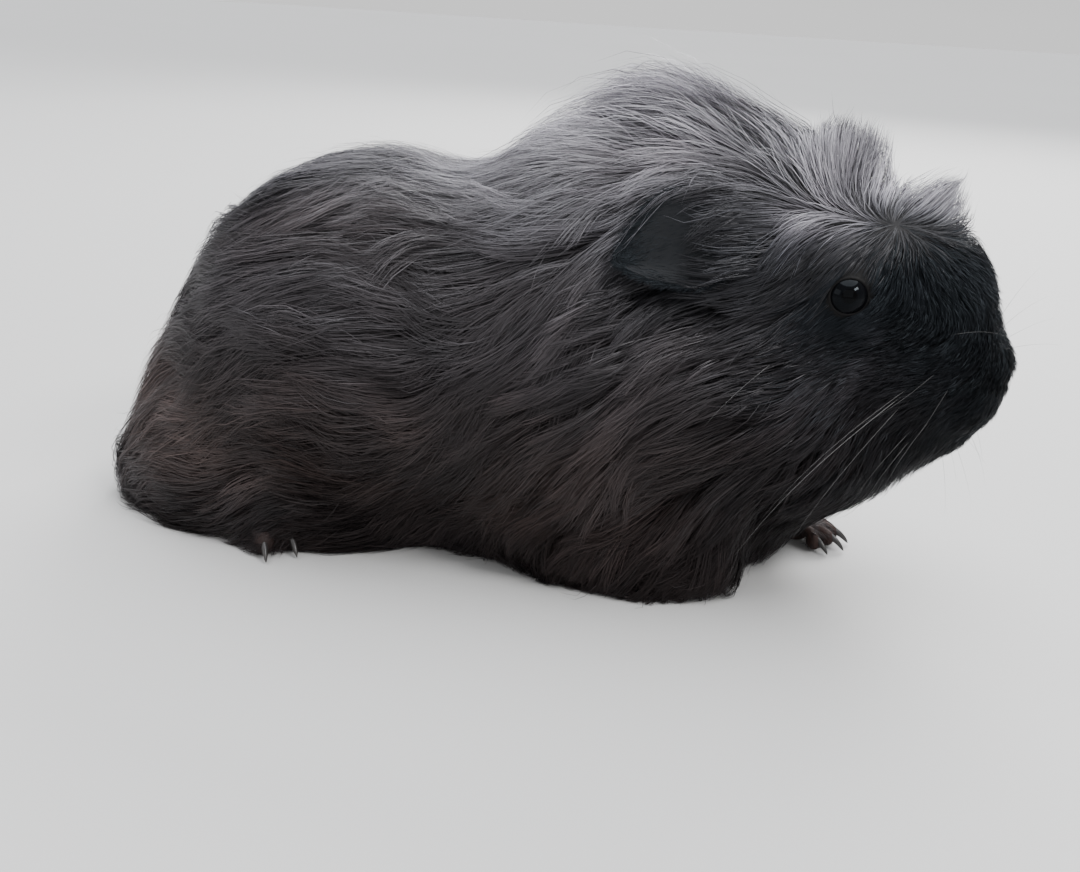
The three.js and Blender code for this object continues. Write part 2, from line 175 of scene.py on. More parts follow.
# What the coat does, place by place, on the right side, in head or body frame:
# place, depth of the coat over the skin, hair length, hair width, how loose its tips are
H, B = 1, 0
ZONES = [
    (H, (115, 0, 61), 0.25, 1.7, 0.13, 0.3),
    (H, (108, -10, 60), 0.8, 3.2, 0.14, 0.5),
    (H, (112, -6, 49), 0.7, 3.0, 0.14, 0.6),
    (H, (104, -8, 41), 1.3, 5.0, 0.15, 0.7),
    (H, (99, -14, 56), 1.0, 4.2, 0.15, 0.4),
    (H, (103, 0, 73), 0.9, 3.6, 0.15, 0.4),
    (H, (103, -12, 77), 1.0, 4.4, 0.15, 0.4),
    (H, (97, -7, 80), 1.3, 5.2, 0.16, 0.5),
    (H, (94, -13, 68), 1.1, 4.4, 0.15, 0.4),
    (H, (93, -3, 96), 2.2, 13.0, 0.16, 1.0),
    (H, (97, -4, 97), 2.0, 13.0, 0.16, 1.0),
    (H, (97, -6, 93), 2.0, 11.0, 0.16, 0.8),
    (H, (98, 0, 86), 1.8, 8.0, 0.16, 0.6),
    (H, (87, -11, 94), 1.8, 10.0, 0.17, 0.6),
    (H, (93, -13, 88), 1.6, 7.0, 0.17, 0.5),
    (H, (87, -17, 87), 1.4, 6.0, 0.16, 0.4),
    (H, (85, -19, 82), 1.1, 5.0, 0.15, 0.3),
    (H, (80, -20, 84), 1.3, 6.0, 0.16, 0.3),
    (H, (86, -18, 75), 1.0, 4.0, 0.15, 0.3),
    (H, (80, -21, 69), 1.2, 4.8, 0.15, 0.3),
    (H, (72, -24, 77), 1.6, 6.5, 0.16, 0.3),
    (H, (88, -18, 61), 1.5, 6.0, 0.16, 0.4),
    (H, (78, -22, 56), 3.0, 11.0, 0.18, 0.4),
    (H, (64, -27, 66), 4.5, 18.0, 0.19, 0.3),
    (H, (50, -32, 58), 7.0, 26.0, 0.20, 0.4),
    (H, (68, -25, 42), 6.0, 24.0, 0.20, 0.5),
    (H, (88, -14, 42), 2.6, 9.0, 0.18, 0.6),
    (H, (80, 0, 32), 4.0, 15.0, 0.19, 0.8),
    (H, (60, -10, 18), 7.0, 27.0, 0.20, 0.9),
    (H, (69, -18, 97), 3.0, 17.0, 0.18, 0.5),
    (H, (78, -16, 94), 2.8, 16.0, 0.18, 0.5),
    (H, (81, -14, 94), 2.6, 15.0, 0.18, 0.5),
    (H, (78, -18, 90), 2.2, 13.0, 0.18, 0.4),
    (H, (75, -21, 87), 1.9, 12.0, 0.18, 0.4),
    (H, (73, -23, 83), 1.8, 10.0, 0.17, 0.3),
    (H, (66, -20, 94), 3.0, 18.0, 0.19, 0.4),
    (H, (66, -22, 90), 2.8, 17.0, 0.19, 0.4),
    (H, (69, -24, 86), 2.4, 15.0, 0.19, 0.4),
    (H, (58, -26, 84), 2.6, 17.0, 0.19, 0.4),
    (H, (55, -22, 95), 3.6, 20.0, 0.19, 0.4),
    (H, (52, -18, 102), 4.2, 23.0, 0.19, 0.5),
    (H, (45, -22, 99), 4.0, 21.0, 0.20, 0.4),
    (H, (47, -27, 91), 3.6, 19.0, 0.20, 0.4),
    (H, (36, -29, 80), 5.0, 18.0, 0.20, 0.3),
    (H, (73, -5, 103), 3.0, 21.0, 0.17, 1.0),
    (H, (76, -12, 99), 3.0, 20.0, 0.17, 0.8),
    (H, (83, -6, 99), 3.0, 18.0, 0.17, 1.0),
    (H, (60, -10, 106), 5.0, 28.0, 0.19, 1.0),
    (B, (50, -10, 111), 8.0, 31.0, 0.19, 1.0),
    (B, (39, -14, 109), 9.0, 32.0, 0.19, 0.8),
    (B, (30, -6, 119), 11.0, 33.0, 0.19, 1.2),
    (B, (14, -12, 109), 10.0, 33.0, 0.19, 1.1),
    (B, (12, -22, 99), 9.0, 33.0, 0.20, 0.8),
    (B, (31, -22, 101), 8.0, 30.0, 0.20, 0.6),
    (B, (22, -29, 92), 8.0, 31.0, 0.20, 0.5),
    (B, (12, -31, 91), 8.0, 32.0, 0.20, 0.6),
    (B, (3, -28, 91), 8.0, 32.0, 0.20, 0.6),
    (B, (12, -38, 80), 8.0, 32.0, 0.21, 0.5),
    (B, (14, -42, 70), 8.0, 32.0, 0.21, 0.4),
    (B, (10, -44, 50), 8.0, 31.0, 0.21, 0.5),
    (B, (8, -44, 32), 8.0, 28.0, 0.21, 0.5),
    (B, (30, -38, 14), 6.0, 23.0, 0.21, 0.8),
    (B, (60, -24, 10), 7.0, 24.0, 0.20, 0.9),
    (B, (72, 0, 12), 5.0, 16.0, 0.20, 0.8),
    (B, (-10, -38, 20), 6.0, 26.0, 0.21, 0.6),
    (B, (-12, -8, 97), 6.0, 27.0, 0.20, 0.9),
    (B, (-24, -10, 94), 6.0, 28.0, 0.20, 0.7),
    (B, (-10, -30, 84), 7.0, 31.0, 0.21, 0.5),
    (B, (-26, -38, 77), 7.5, 32.0, 0.21, 0.5),
    (B, (-45, -14, 94), 7.0, 31.0, 0.21, 0.6),
    (B, (-52, -36, 78), 7.5, 32.0, 0.21, 0.5),
    (B, (-35, -45, 62), 8.0, 34.0, 0.21, 0.5),
    (B, (-38, -50, 35), 8.0, 33.0, 0.21, 0.5),
    (B, (-75, -30, 68), 8.0, 34.0, 0.21, 0.5),
    (B, (-66, -46, 42), 8.0, 33.0, 0.21, 0.5),
    (B, (-85, -40, 25), 8.0, 33.0, 0.21, 0.6),
    (B, (-104, 0, 40), 8.0, 31.0, 0.21, 0.7),
    (B, (-55, -47, 20), 7.0, 29.0, 0.21, 0.6),
    (B, (-70, -42, 8), 5.0, 23.0, 0.21, 1.0),
    (B, (-40, -40, 8), 4.5, 21.0, 0.21, 1.0),
    (B, (-40, 0, 4), 4.0, 14.0, 0.22, 0.5),
    (B, (20, 0, 4), 4.0, 14.0, 0.22, 0.5),
    (B, (-60, -40, 70), 7.5, 33.0, 0.21, 0.5),
    (B, (-47, -43, 72), 7.5, 33.0, 0.21, 0.5),
    (B, (-31, -41, 73), 7.5, 32.0, 0.21, 0.5),
    (B, (-63, -33, 76), 7.5, 32.0, 0.21, 0.5),
    (B, (-5, -40, 68), 7.5, 32.0, 0.21, 0.5),
    (B, (-14, -43, 60), 8.0, 32.0, 0.21, 0.5),
    (B, (-4, -43, 54), 8.0, 32.0, 0.21, 0.5),
    (B, (-20, -47, 50), 8.0, 32.0, 0.21, 0.5),
    (B, (17, -44, 62), 8.0, 31.0, 0.21, 0.5),
    (B, (28, -43, 60), 8.0, 31.0, 0.21, 0.5),
    (B, (38, -41, 51), 8.0, 30.0, 0.21, 0.5),
    (B, (3, -34, 83), 8.0, 32.0, 0.21, 0.5),
    (B, (-13, -45, 38), 8.0, 30.0, 0.21, 0.5),
    (B, (-24, -44, 25), 7.0, 27.0, 0.21, 0.6),
    (B, (-2, -44, 38), 8.0, 30.0, 0.21, 0.5),
    (B, (-3, -40, 17), 6.5, 26.0, 0.21, 0.6),
    (B, (24, -44, 33), 8.0, 28.0, 0.21, 0.5),
    (B, (20, -43, 22), 7.0, 26.0, 0.21, 0.6),
    (B, (45, -37, 25), 7.0, 26.0, 0.20, 0.6),
    (B, (60, -36, 36), 6.5, 25.0, 0.20, 0.5),
    (B, (62, -31, 16), 6.5, 24.0, 0.20, 0.8),
    (B, (70, -27, 25), 6.0, 22.0, 0.20, 0.7),
    (B, (44, -34, 71), 6.5, 24.0, 0.20, 0.4),
    (B, (77, -30, 48), 3.6, 14.0, 0.19, 0.4),
    (B, (82, -26, 63), 1.6, 7.5, 0.17, 0.3),
    (B, (59, -19, 101), 4.0, 22.0, 0.19, 0.7),
    (B, (-20, -31, 83), 7.5, 32.0, 0.21, 0.5),
    (B, (-32, -31, 87), 7.5, 32.0, 0.21, 0.5),
    (B, (-70, -20, 81), 7.5, 32.0, 0.21, 0.5),
    (B, (40, -22, 100), 5.5, 24.0, 0.19, 0.5),
    (B, (57, -37, 53), 6.0, 22.0, 0.19, 0.4),
    (B, (67, -34, 56), 4.0, 15.0, 0.19, 0.4),
    (B, (74, -28, 67), 2.2, 9.0, 0.17, 0.3),
    (B, (40, -40, 36), 7.5, 27.0, 0.20, 0.5),
    (B, (-26, -41, 13), 5.5, 23.0, 0.21, 0.9),
    (B, (-56, -46, 58), 8.0, 33.0, 0.21, 0.5),
    (B, (-92, -30, 36), 8.0, 32.0, 0.21, 0.6),
    (B, (36, -37, 65), 6.5, 24.0, 0.20, 0.4),
]
zone_at, zone_value = [], []
for place_frame, place, *values in ZONES:
    for side in (1, -1) if place[1] else (1,):
        at = np.array([place[0], place[1] * side, place[2]], float)
        zone_at.append(from_head(at) if place_frame else at)
        zone_value.append(values)
zone_at, zone_value = np.array(zone_at), np.array(zone_value)


def nearest_blend(p, at, value, sigma, chunk=200000):
    """Values spread from named places by their nearness."""
    out = np.empty((len(p), value.shape[1]), np.float32)
    at32, v32 = at.astype(np.float32), value.astype(np.float32)
    for i in range(0, len(p), chunk):
        q = p[i : i + chunk].astype(np.float32)
        d = (q * q).sum(1)[:, None] + (at32 * at32).sum(1) - 2 * q @ at32.T
        d -= d.min(1)[:, None]
        reach = sigma[i : i + chunk, None] if np.ndim(sigma) else sigma
        w = np.exp(-d / (2 * reach * reach))
        out[i : i + chunk] = (w @ v32) / w.sum(1)[:, None]
    return out


def line_distance(p, points):
    """Distance from a line through the points."""
    best = np.full(len(p), 1e9)
    points = [np.asarray(q, float) for q in points]
    for a, b in zip(points, points[1:] if len(points) > 1 else points):
        ab = b - a
        t = np.clip((p - a) @ ab / max(ab @ ab, 1e-9), 0, 1)
        best = np.minimum(best, np.linalg.norm(p - a - t[:, None] * ab, axis=1))
    return best


# Hair tones, against plain black.
# The higher tone levels are painted sheen and painted backlit highlight; the lowest also serve as painted shade.
JET, DARK, DIM, PLAIN, SHEEN, GREY_SHEEN, SILVER_SHEEN, BACKLIT_PALE = 0.3, 0.6, 0.9, 1.2, 2.0, 3.5, 11.0, 30.0
# A black coat, browner low down and jet on the face, with light painted in: painted sheen pale along the mane, crest,
# crown and brows and greyer on the back and shoulders, where light from above and behind falls; a painted sheen band
# along the flanks and over the haunch; and painted shade darkening the hem, chest, throat, low sides and the hollow
# round each ear.
# Each marking: frame, the line it runs along, reach, hair tone, brown. Brown below nought is bluish, a painted cool
# cast of skylight in the shade.
MARKINGS = {
    "back": (B, [(-90, 0, 76), (-50, 0, 94), (-10, 0, 97)], 24, GREY_SHEEN, 0.0),
    "flank": (B, [(-70, 40, 64), (-20, 43, 64), (25, 42, 64)], 14, SHEEN, 0.1),
    "low_side": (B, [(-80, 46, 28), (-20, 47, 27), (50, 37, 24)], 17, DIM, 0.6),
    "rump_foot": (B, [(-100, 10, 34), (-84, 42, 24)], 15, SHEEN, 0.7),
    "hem": (B, [(-84, 40, 5), (0, 42, 5), (62, 24, 6)], 9, DARK, 0.4),
    "chest": (B, [(66, 0, 22), (58, 26, 24)], 14, DARK, 0.3),
    "shoulder": (B, [(0, 32, 88), (28, 30, 92)], 13, GREY_SHEEN, 0.0),
    "mane_side": (B, [(-2, 0, 102), (16, 0, 108), (34, 0, 110), (52, 0, 104)], 25, SILVER_SHEEN, 0.0),
    "mane_ridge": (B, [(4, 0, 108), (20, 0, 115), (34, 0, 118), (50, 0, 113)], 12, BACKLIT_PALE, 0.0),
    "crown": (H, [(60, 0, 106), (73, 0, 103), (83, 0, 99)], 14, SILVER_SHEEN, 0.0),
    "throat": (H, [(104, 0, 42), (84, 0, 37), (62, 0, 24)], 18, JET, 0.2),
    "cheek": (H, [(84, 19, 60), (64, 27, 62)], 13, PLAIN, 0.05),
    "face": (H, [(116, 0, 58), (103, 4, 68), (90, 8, 82)], 15, JET, -0.5),
    "eye": (H, [(85, 19, 80), (80, 20, 76)], 8, JET, -0.6),
    "ear": (H, [(46, 27, 82), (60, 27, 85), (72, 24, 81)], 12, DARK, -0.4),
    "brow": (H, [(78, 17, 94), (66, 21, 93)], 6, SILVER_SHEEN, 0.0),
    "crest": (H, [(83, 4, 99), (97, 3, 98)], 6, BACKLIT_PALE, 0.0),
}


def markings_at(p):
    """Hair tone and brown at a place: each marking is painted over those before it."""
    sides = np.array([1, -1, 1])
    frames = {B: np.where(p[:, 1:2] < 0, p * sides, p)}
    h = to_head(p)
    frames[H] = np.where(h[:, 1:2] < 0, h * sides, h)
    tone, brown = np.full(len(p), math.log(PLAIN)), np.full(len(p), 0.2)
    for which, line, reach, its_tone, its_brown in MARKINGS.values():
        d = line_distance(frames[which], line)
        w = 1 / (1 + np.exp(np.clip((d - reach) / (0.2 * reach), -30, 30)))
        tone += (math.log(its_tone) - tone) * w
        brown += (its_brown - brown) * w
    return np.exp(tone), brown


def zones_at(p):
    """All values of the coat at a place: depth, length, tone, brown, width, looseness."""
    h = to_head(p)
    on_head = 1 / (1 + np.exp(-(h[:, 0] - 40) / 4)) * (1 / (1 + np.exp(-(h[:, 2] - 70) / 4)))
    out = nearest_blend(p, zone_at, zone_value, 7.5 - 3.2 * on_head)
    tone, brown = markings_at(p)
    return np.column_stack([out[:, :2], tone, brown, out[:, 2:]]).astype(np.float32)


def depth_at(p):
    return nearest_blend(p, zone_at, zone_value[:, :1], 8.0)[:, 0].astype(float)


def eye_frame(side):
    """Centre, outward axis and the two lid axes of an eye, in head frame. side is -1 on the right."""
    m = np.array([1, -side, 1]) if side > 0 else np.array([1, 1, 1])
    at = EYE_AT * np.array([1, 1 if side < 0 else -1, 1])
    axis = EYE_AXIS * np.array([1, 1 if side < 0 else -1, 1])
    up = unit(np.array([-0.12, 0, 1.0]) - axis * (np.array([-0.12, 0, 1.0]) @ axis))
    return at, axis, np.cross(up, axis), up


HIND = dict(heel=[-83, -24, 4.6], ball=[-58.5, -36.5, 5.2], toes=[[-53.2, -45.6, 3.9], [-48.8, -40.6, 4.2], [-45.6, -34.4, 4]])
HIND["claws"] = [[-50.3, -50.2, 0.7], [-44.6, -45, 0.7], [-40.6, -36.6, 0.7]]
PAW = dict(wrist=[-7, 0, 11], palm=[2.5, 0, 4.4], toes=[[8.6, 5.6, 3.2], [11.4, 2.2, 3.5], [11.8, -1.8, 3.5], [9.2, -5.6, 3.2]])
PAW["claws"] = [[12.6, 7.4, 0.7], [16.2, 3, 0.7], [16.6, -2.4, 0.7], [13.4, -7.2, 0.7]]
PAW_PLACES = {"l": ((70.5, 14.5), -6), "r": ((44, -19.5), -16)}


def paw_point(side, p):
    (x, y), turn = PAW_PLACES[side]
    p = np.asarray(p, float)
    if side == "l":
        p = p * np.array([1, -1, 1])
    return turned(p, math.radians(turn)) + np.array([x, y, 0])


def hind_point(side, p):
    return np.asarray(p, float) * np.array([1, 1 if side == "r" else -1, 1])


def toe_line(a, b, bend):
    """Knuckled line from the foot to the toe's tip."""
    a, b = np.asarray(a, float), np.asarray(b, float)
    m = a * 0.45 + b * 0.55 + np.array([0, 0, bend])
    return a, m, b


def feet(p):
    d = np.full(p.shape[:-1], 50.0)
    near = p[..., 2] < 24
    q = p[near]
    e = np.full(len(q), 50.0)
    for side in "rl":
        heel, ballp = hind_point(side, HIND["heel"]), hind_point(side, HIND["ball"])
        e = join(e, rod(q, heel, ballp, 5.0, 5.4), 2.0)
        for toe in HIND["toes"]:
            t = hind_point(side, toe)
            a = ballp + (t - ballp) * 0.25
            _, m, b = toe_line(a, t, 0.8)
            e = join(e, np.minimum(rod(q, a, m, 3.0, 2.5), rod(q, m, b, 2.5, 2.3)), 1.4)
            e = join(e, np.linalg.norm(q - (b + np.array([0, 0, -1.0])), axis=1) - 2.5, 1.0)
        wrist, palm = paw_point(side, PAW["wrist"]), paw_point(side, PAW["palm"])
        e = join(e, rod(q, wrist, palm, 4.5, 4.6), 2.0)
        for toe in PAW["toes"]:
            t = paw_point(side, toe)
            a = palm + (t - palm) * 0.3
            _, m, b = toe_line(a, t, 0.7)
            e = join(e, np.minimum(rod(q, a, m, 2.2, 1.75), rod(q, m, b, 1.75, 1.6)), 1.0)
            e = join(e, np.linalg.norm(q - (b + np.array([0, 0, -0.9])), axis=1) - 1.8, 0.8)
    d[near] = e
    return d


def face_forms(p, s):
    """Muzzle puffs, nose, chin and the mound round each eye."""
    h = to_head(p)
    near = (h[:, 0] > 60) & (h[:, 2] > 30)
    q, v = h[near], s[near]
    if not len(q):
        return s
    v = join(v, ball(q, [110.8, 0, 60.4], [4.0, 6.0, 5.2]), 3.2)
    for y in (-1, 1):
        v = join(v, ball(q, [111.6, 3.7 * y, 60.2], [2.8, 2.8, 3.3]), 1.8)
        v = join(v, ball(q, [106.8, 5.0 * y, 52.8], [6.6, 5.9, 6.2]), 3.6)
    v = join(v, ball(q, [102.4, 0, 43.8], [6.0, 5.8, 4.4]), 3.6)
    for side in (-1, 1):
        at, axis, across, up = eye_frame(side)
        r = q - at
        a, u, w = r @ axis, r @ across, r @ up
        ring = np.sqrt(u * u + w * w)
        v = join(v, ball(np.stack([u, w, a], -1), [0.3, -0.2, -1.6], [8.6, 8.2, 5.6]), 4.0)
    s = s.copy()
    s[near] = v
    return s


def groove(p, a, b, wide, deep):
    """How far a soft groove along the line a-b takes the skin in."""
    return deep * np.exp(-((rod(p, a, b, 0, 0) / wide) ** 2))


def face_cuts(p, s):
    """Nostrils, the groove down the lip, the mouth and folds round the eyes."""
    h = to_head(p)
    near = (h[:, 0] > 64) & (h[:, 2] > 36)
    q, v = h[near], s[near]
    if not len(q):
        return s
    for y in (-1, 1):
        hole = np.maximum(
            groove(q, [115.9, 2.9 * y, 58.4], [114.1, 5.4 * y, 59.8], 0.85, 1.6),
            groove(q, [114.1, 5.4 * y, 59.8], [111.4, 7.6 * y, 62.6], 0.65, 0.9),
        )
        v = v + hole
        v = v + groove(q, [112.0, 0.5 * y, 46.8], [105.0, 8.6 * y, 45.4], 0.9, 0.8)
        v = v + groove(q, [116.0, 4.0 * y, 64.6], [110.5, 8.6 * y, 64.2], 1.3, -0.22)
    v = v + groove(q, [118.2, 0, 58.6], [114.0, 0, 48.0], 0.75, 1.1)
    for side in (-1, 1):
        at, axis, across, up = eye_frame(side)
        r = q - at
        u, w = r @ across, r @ up
        ring = np.sqrt(u * u + w * w)
        ang = np.arctan2(w, u)
        # two shallow folds, below and behind
        fold = 0.16 * np.exp(-(((ring - 6.3 - 0.4 * np.cos(ang)) / 0.42) ** 2)) * np.clip(-np.sin(ang + 0.3) + 0.35, 0, 1)
        fold += 0.12 * np.exp(-(((ring - 7.6) / 0.5) ** 2)) * np.clip(-np.sin(ang), 0, 1)
        fold[(r @ axis) < -1] = 0
        v = v + fold
    s = s.copy()
    s[near] = v
    return s


def skin_base(p):
    h = to_head(p)
    e = join(union(p, BODY), union(h, HEAD), 12)
    # the neck under the mane
    e = join(e, ball(p, [26, 0, 78], [26, 24, 30]), 14)
    return e + depth_at(p)


def skin_plain(p):
    s = face_forms(p, skin_base(p))
    s = join(s, feet(p), 3.0)
    return meet(s, FLOOR_GAP - p[:, 2], 0.3)


def skin(p):
    return face_cuts(p, skin_plain(p))


def gradient(f, p, h=0.3):
    g = np.stack([f(p + h * np.eye(3)[i]) - f(p - h * np.eye(3)[i]) for i in range(3)], -1)
    return g / np.maximum(np.linalg.norm(g, axis=-1, keepdims=True), 1e-9)


def settled(f, p, steps=3, h=0.25):
    for _ in range(steps):
        v = f(p)
        g = np.stack([f(p + h * np.eye(3)[i]) - f(p - h * np.eye(3)[i]) for i in range(3)], -1) / (2 * h)
        p = p - g * np.clip(v / np.maximum((g * g).sum(-1), 0.2), -1.0, 1.0)[:, None]
    return p


def nets(f, low, high, h):
    """Quads of the surface f = 0, one vertex to a cell."""
    low = np.array(low, float)
    n = np.ceil((np.array(high) - low) / h).astype(int) + 1
    axes = [low[i] + h * np.arange(n[i]) for i in range(3)]
    grid = np.stack(np.meshgrid(*axes, indexing="ij"), -1).reshape(-1, 3)
    # coarse pass, so that only cells near the surface are worked out in full
    value = np.full(len(grid), 9.0)
    rough = coat(grid)
    keep = (rough < 3) & (rough > -34) | (grid[:, 2] < 16)
    value[~keep & (rough < 0)] = -9.0
    idx = np.flatnonzero(keep)
    for i in range(0, len(idx), 400000):
        part = idx[i : i + 400000]
        value[part] = f(grid[part])
    value = value.reshape(n)
    inside = value < 0
    nx, ny, nz = n
    count = np.zeros((nx - 1, ny - 1, nz - 1), int)
    corners = [(a, b, c) for a in (0, 1) for b in (0, 1) for c in (0, 1)]
    for a, b, c in corners:
        count += inside[a : nx - 1 + a, b : ny - 1 + b, c : nz - 1 + c]
    active = (count > 0) & (count < 8)
    index = -np.ones(active.shape, int)
    cell = np.argwhere(active)
    index[active] = np.arange(len(cell))
    total, hits = np.zeros((len(cell), 3)), np.zeros(len(cell))
    for corner in corners:
        for axis in range(3):
            if corner[axis] == 0:
                other = list(corner)
                other[axis] = 1
                va = value[cell[:, 0] + corner[0], cell[:, 1] + corner[1], cell[:, 2] + corner[2]]
                vb = value[cell[:, 0] + other[0], cell[:, 1] + other[1], cell[:, 2] + other[2]]
                m = (va < 0) != (vb < 0)
                t = va[m] / (va[m] - vb[m])
                q = np.tile(np.array(corner, float), (m.sum(), 1))
                q[:, axis] += t
                total[m] += q
                hits[m] += 1
    verts = low + (cell + total / hits[:, None]) * h
    faces = []
    for axis in range(3):
        u, v = (axis + 1) % 3, (axis + 2) % 3
        s0, s1 = [slice(None)] * 3, [slice(None)] * 3
        s0[axis], s1[axis] = slice(0, n[axis] - 1), slice(1, n[axis])
        e = np.argwhere(inside[tuple(s0)] != inside[tuple(s1)])
        e = e[(e[:, u] > 0) & (e[:, v] > 0) & (e[:, u] < n[u] - 1) & (e[:, v] < n[v] - 1)]

        def at(du, dv):
            q = e.copy()
            q[:, u] -= du
            q[:, v] -= dv
            return index[q[:, 0], q[:, 1], q[:, 2]]

        quad = np.stack([at(1, 1), at(0, 1), at(0, 0), at(1, 0)], 1)
        flip = ~inside[e[:, 0], e[:, 1], e[:, 2]]
        quad[flip] = quad[flip][:, ::-1]
        faces.append(quad)
    return verts, np.concatenate(faces)


# ------------------------------------------------------------------ the skin

print("skin")
low, high = (-118, -58, -2), (124, 58, 126)
verts, quads = nets(skin_plain, low, high, 1.5)
verts = settled(skin_plain, verts, 2)
mesh = bpy.data.meshes.new("skin")
mesh.from_pydata(verts.tolist(), [], quads.tolist())
bm = bmesh.new()
bm.from_mesh(mesh)


def bm_points():
    return np.array([v.co[:] for v in bm.verts])


def finer(where, f):
    """Halves the mesh where asked, and lays it back on the surface."""
    near = where(bm_points())
    edges = [e for e in bm.edges if near[e.verts[0].index] and near[e.verts[1].index]]
    bmesh.ops.subdivide_edges(bm, edges=edges, cuts=1, use_grid_fill=True)
    bmesh.ops.triangulate(bm, faces=[g for g in bm.faces if len(g.verts) > 4])
    bm.verts.index_update()
    bm.verts.ensure_lookup_table()
    c = bm_points()
    near = np.flatnonzero(where(c))
    moved = settled(f, c[near], 2)
    far = np.linalg.norm(moved - c[near], axis=1) > 1.2
    moved[far] = c[near][far]
    for i, q in zip(near.tolist(), moved.tolist()):
        bm.verts[i].co = q


def toes_near(c):
    return (c[:, 2] < 14) & (((c[:, 0] > -66) & (c[:, 0] < -38) & (np.abs(c[:, 1]) > 26)) | ((c[:, 0] > 64) & (c[:, 1] > 0)))


def eye_ring(c, side):
    at, axis, across, up = eye_frame(side)
    r = to_head(c) - at
    a, u, w = r @ axis, r @ across, r @ up
    return a, u, w, np.sqrt(u * u + w * w)


def near_eye(c, reach):
    out = np.zeros(len(c), bool)
    for side in (-1, 1):
        a, u, w, ring = eye_ring(c, side)
        out |= (ring < reach) & (a > -1)
    return out


def near_nose(c, reach):
    return np.linalg.norm((to_head(c) - [114, 0, 55]) / [1, 1, 1.25], axis=1) < reach


finer(lambda c: (to_head(c)[:, 0] > 66) & (c[:, 2] > 34) | toes_near(c), skin_plain)
finer(lambda c: near_eye(c, 9.5) | near_nose(c, 13.0), skin)
finer(lambda c: near_eye(c, 7.4) | near_nose(c, 10.5), skin)

# Each eye's opening: cut away what covers the ball, draw the rim onto one smooth line, and turn the edge in as a lid.


def opening(angle):
    """Half width of the lid opening, wider than it is high."""
    return 3.95 * (1 - 0.06 * np.sin(angle) ** 2 + 0.035 * np.cos(angle + 0.5))


for side in (-1, 1):
    at, axis, across, up = eye_frame(side)
    c = bm_points()
    a, u, w, ring = eye_ring(c, side)
    cover = (ring < opening(np.arctan2(w, u)) + 0.02) & (a > 0)
    bmesh.ops.delete(bm, geom=[v for v, k in zip(bm.verts[:], cover) if k], context="VERTS")
    bm.verts.index_update()
    bm.verts.ensure_lookup_table()
    c = bm_points()
    a, u, w, ring = eye_ring(c, side)
    ang = np.arctan2(w, u)
    edge = np.array([v.is_boundary for v in bm.verts])
    rim = edge & (ring < 6) & (a > 0)
    span = opening(ang)
    near = (ring < 9.5) & (a > -1)
    new_ring = ring.copy()
    new_ring[rim] = span[rim]
    x = np.clip((new_ring - span) / 4.6, 0, 1)
    lid = np.sqrt(EYE_R**2 - np.minimum(new_ring, 4.4) ** 2)
    lid = np.where(new_ring < 4.4, lid, lid - (new_ring - 4.4) * 0.55)
    lid = lid + 0.62 * (1 - np.exp(-((new_ring - span) / 0.35))) + 0.12
    blend_out = x * x * (3 - 2 * x)
    new_a = np.where(near, lid * (1 - blend_out) + a * blend_out, a)
    new_a = np.maximum(new_a, np.where(near, a * 0 - 5, a))
    scale = new_ring / np.maximum(ring, 1e-6)
    moved = at + new_a[:, None] * axis + (u * scale)[:, None] * across + (w * scale)[:, None] * up
    moved = from_head(moved)
    for i in np.flatnonzero(near).tolist():
        bm.verts[i].co = moved[i]
    loop = [e for e in bm.edges if e.is_boundary and all(rim[v.index] for v in e.verts)]
    for inner, drop in ((-0.10, 0.16), (-0.06, 0.38), (0.28, 0.5), (0.9, 0.9)):
        out = bmesh.ops.extrude_edge_only(bm, edges=loop)["geom"]
        loop = [e for e in out if isinstance(e, bmesh.types.BMEdge)]
        for v in {v for e in loop for v in e.verts}:
            q = to_head(np.array(v.co[:])) - at
            qa, qu, qw = q @ axis, q @ across, q @ up
            qr = math.hypot(qu, qw)
            base = float(opening(np.array(math.atan2(qw, qu))))
            r2 = base + inner
            a2 = math.sqrt(EYE_R**2 - base**2) + 0.12 - drop
            v.co = from_head(at + a2 * axis + (qu * across + qw * up) * (r2 / qr))
    bm.verts.index_update()
bmesh.ops.recalc_face_normals(bm, faces=bm.faces[:])
bm.to_mesh(mesh)
bm.free()
print("skin verts", len(mesh.vertices), "faces", len(mesh.polygons))


def new_object(name, points, faces, materials, smooth=True):
    """A mesh object from points in mm and a list or array of faces."""
    me = bpy.data.meshes.new(name)
    me.from_pydata(metres(points).tolist(), [], [list(map(int, f)) for f in faces])
    me.validate()
    if smooth:
        me.shade_smooth()
    ob = bpy.data.objects.new(name, me)
    bpy.context.scene.collection.objects.link(ob)
    for m in materials:
        me.materials.append(m)
    return ob


# ------------------------------------------------------------------ ears

EAR = dict(root=[57, -26.5, 94.0], tip=[34.0, -39.5, 82.0], width=22.0)


def ear_frame(side):
    """side is -1 on the right. The left ear is its mirror in the head's own frame."""
    root, tip = np.array(EAR["root"], float), np.array(EAR["tip"], float)
    along = unit(tip - root)
    mid = (root + tip) / 2
    body_mid = from_head(mid)
    g = gradient(lambda q: coat(q), body_mid[None], 1.0)[0]
    n = turned(g, -HEAD_TURN)
    n = unit(n - along * (n @ along))
    across = np.cross(along, n)
    f = np.array([1, -1 if side > 0 else 1, 1])
    return root * f, along * f, n * f, across * f, np.linalg.norm(tip - root)


def ear_breadth(t):
    return (EAR["width"] / 2) * (0.60 + 0.40 * np.sin(np.pi * np.clip(t, 0, 1) ** 0.85)) * np.sqrt(np.clip(1 - np.clip((t - 0.42) / 0.60, 0, 1) ** 2.3, 0, 1))


def ear_lift(side, base):
    """Height of the ear above the coat beneath it, from the coat's own field."""
    return coat(from_head(base))


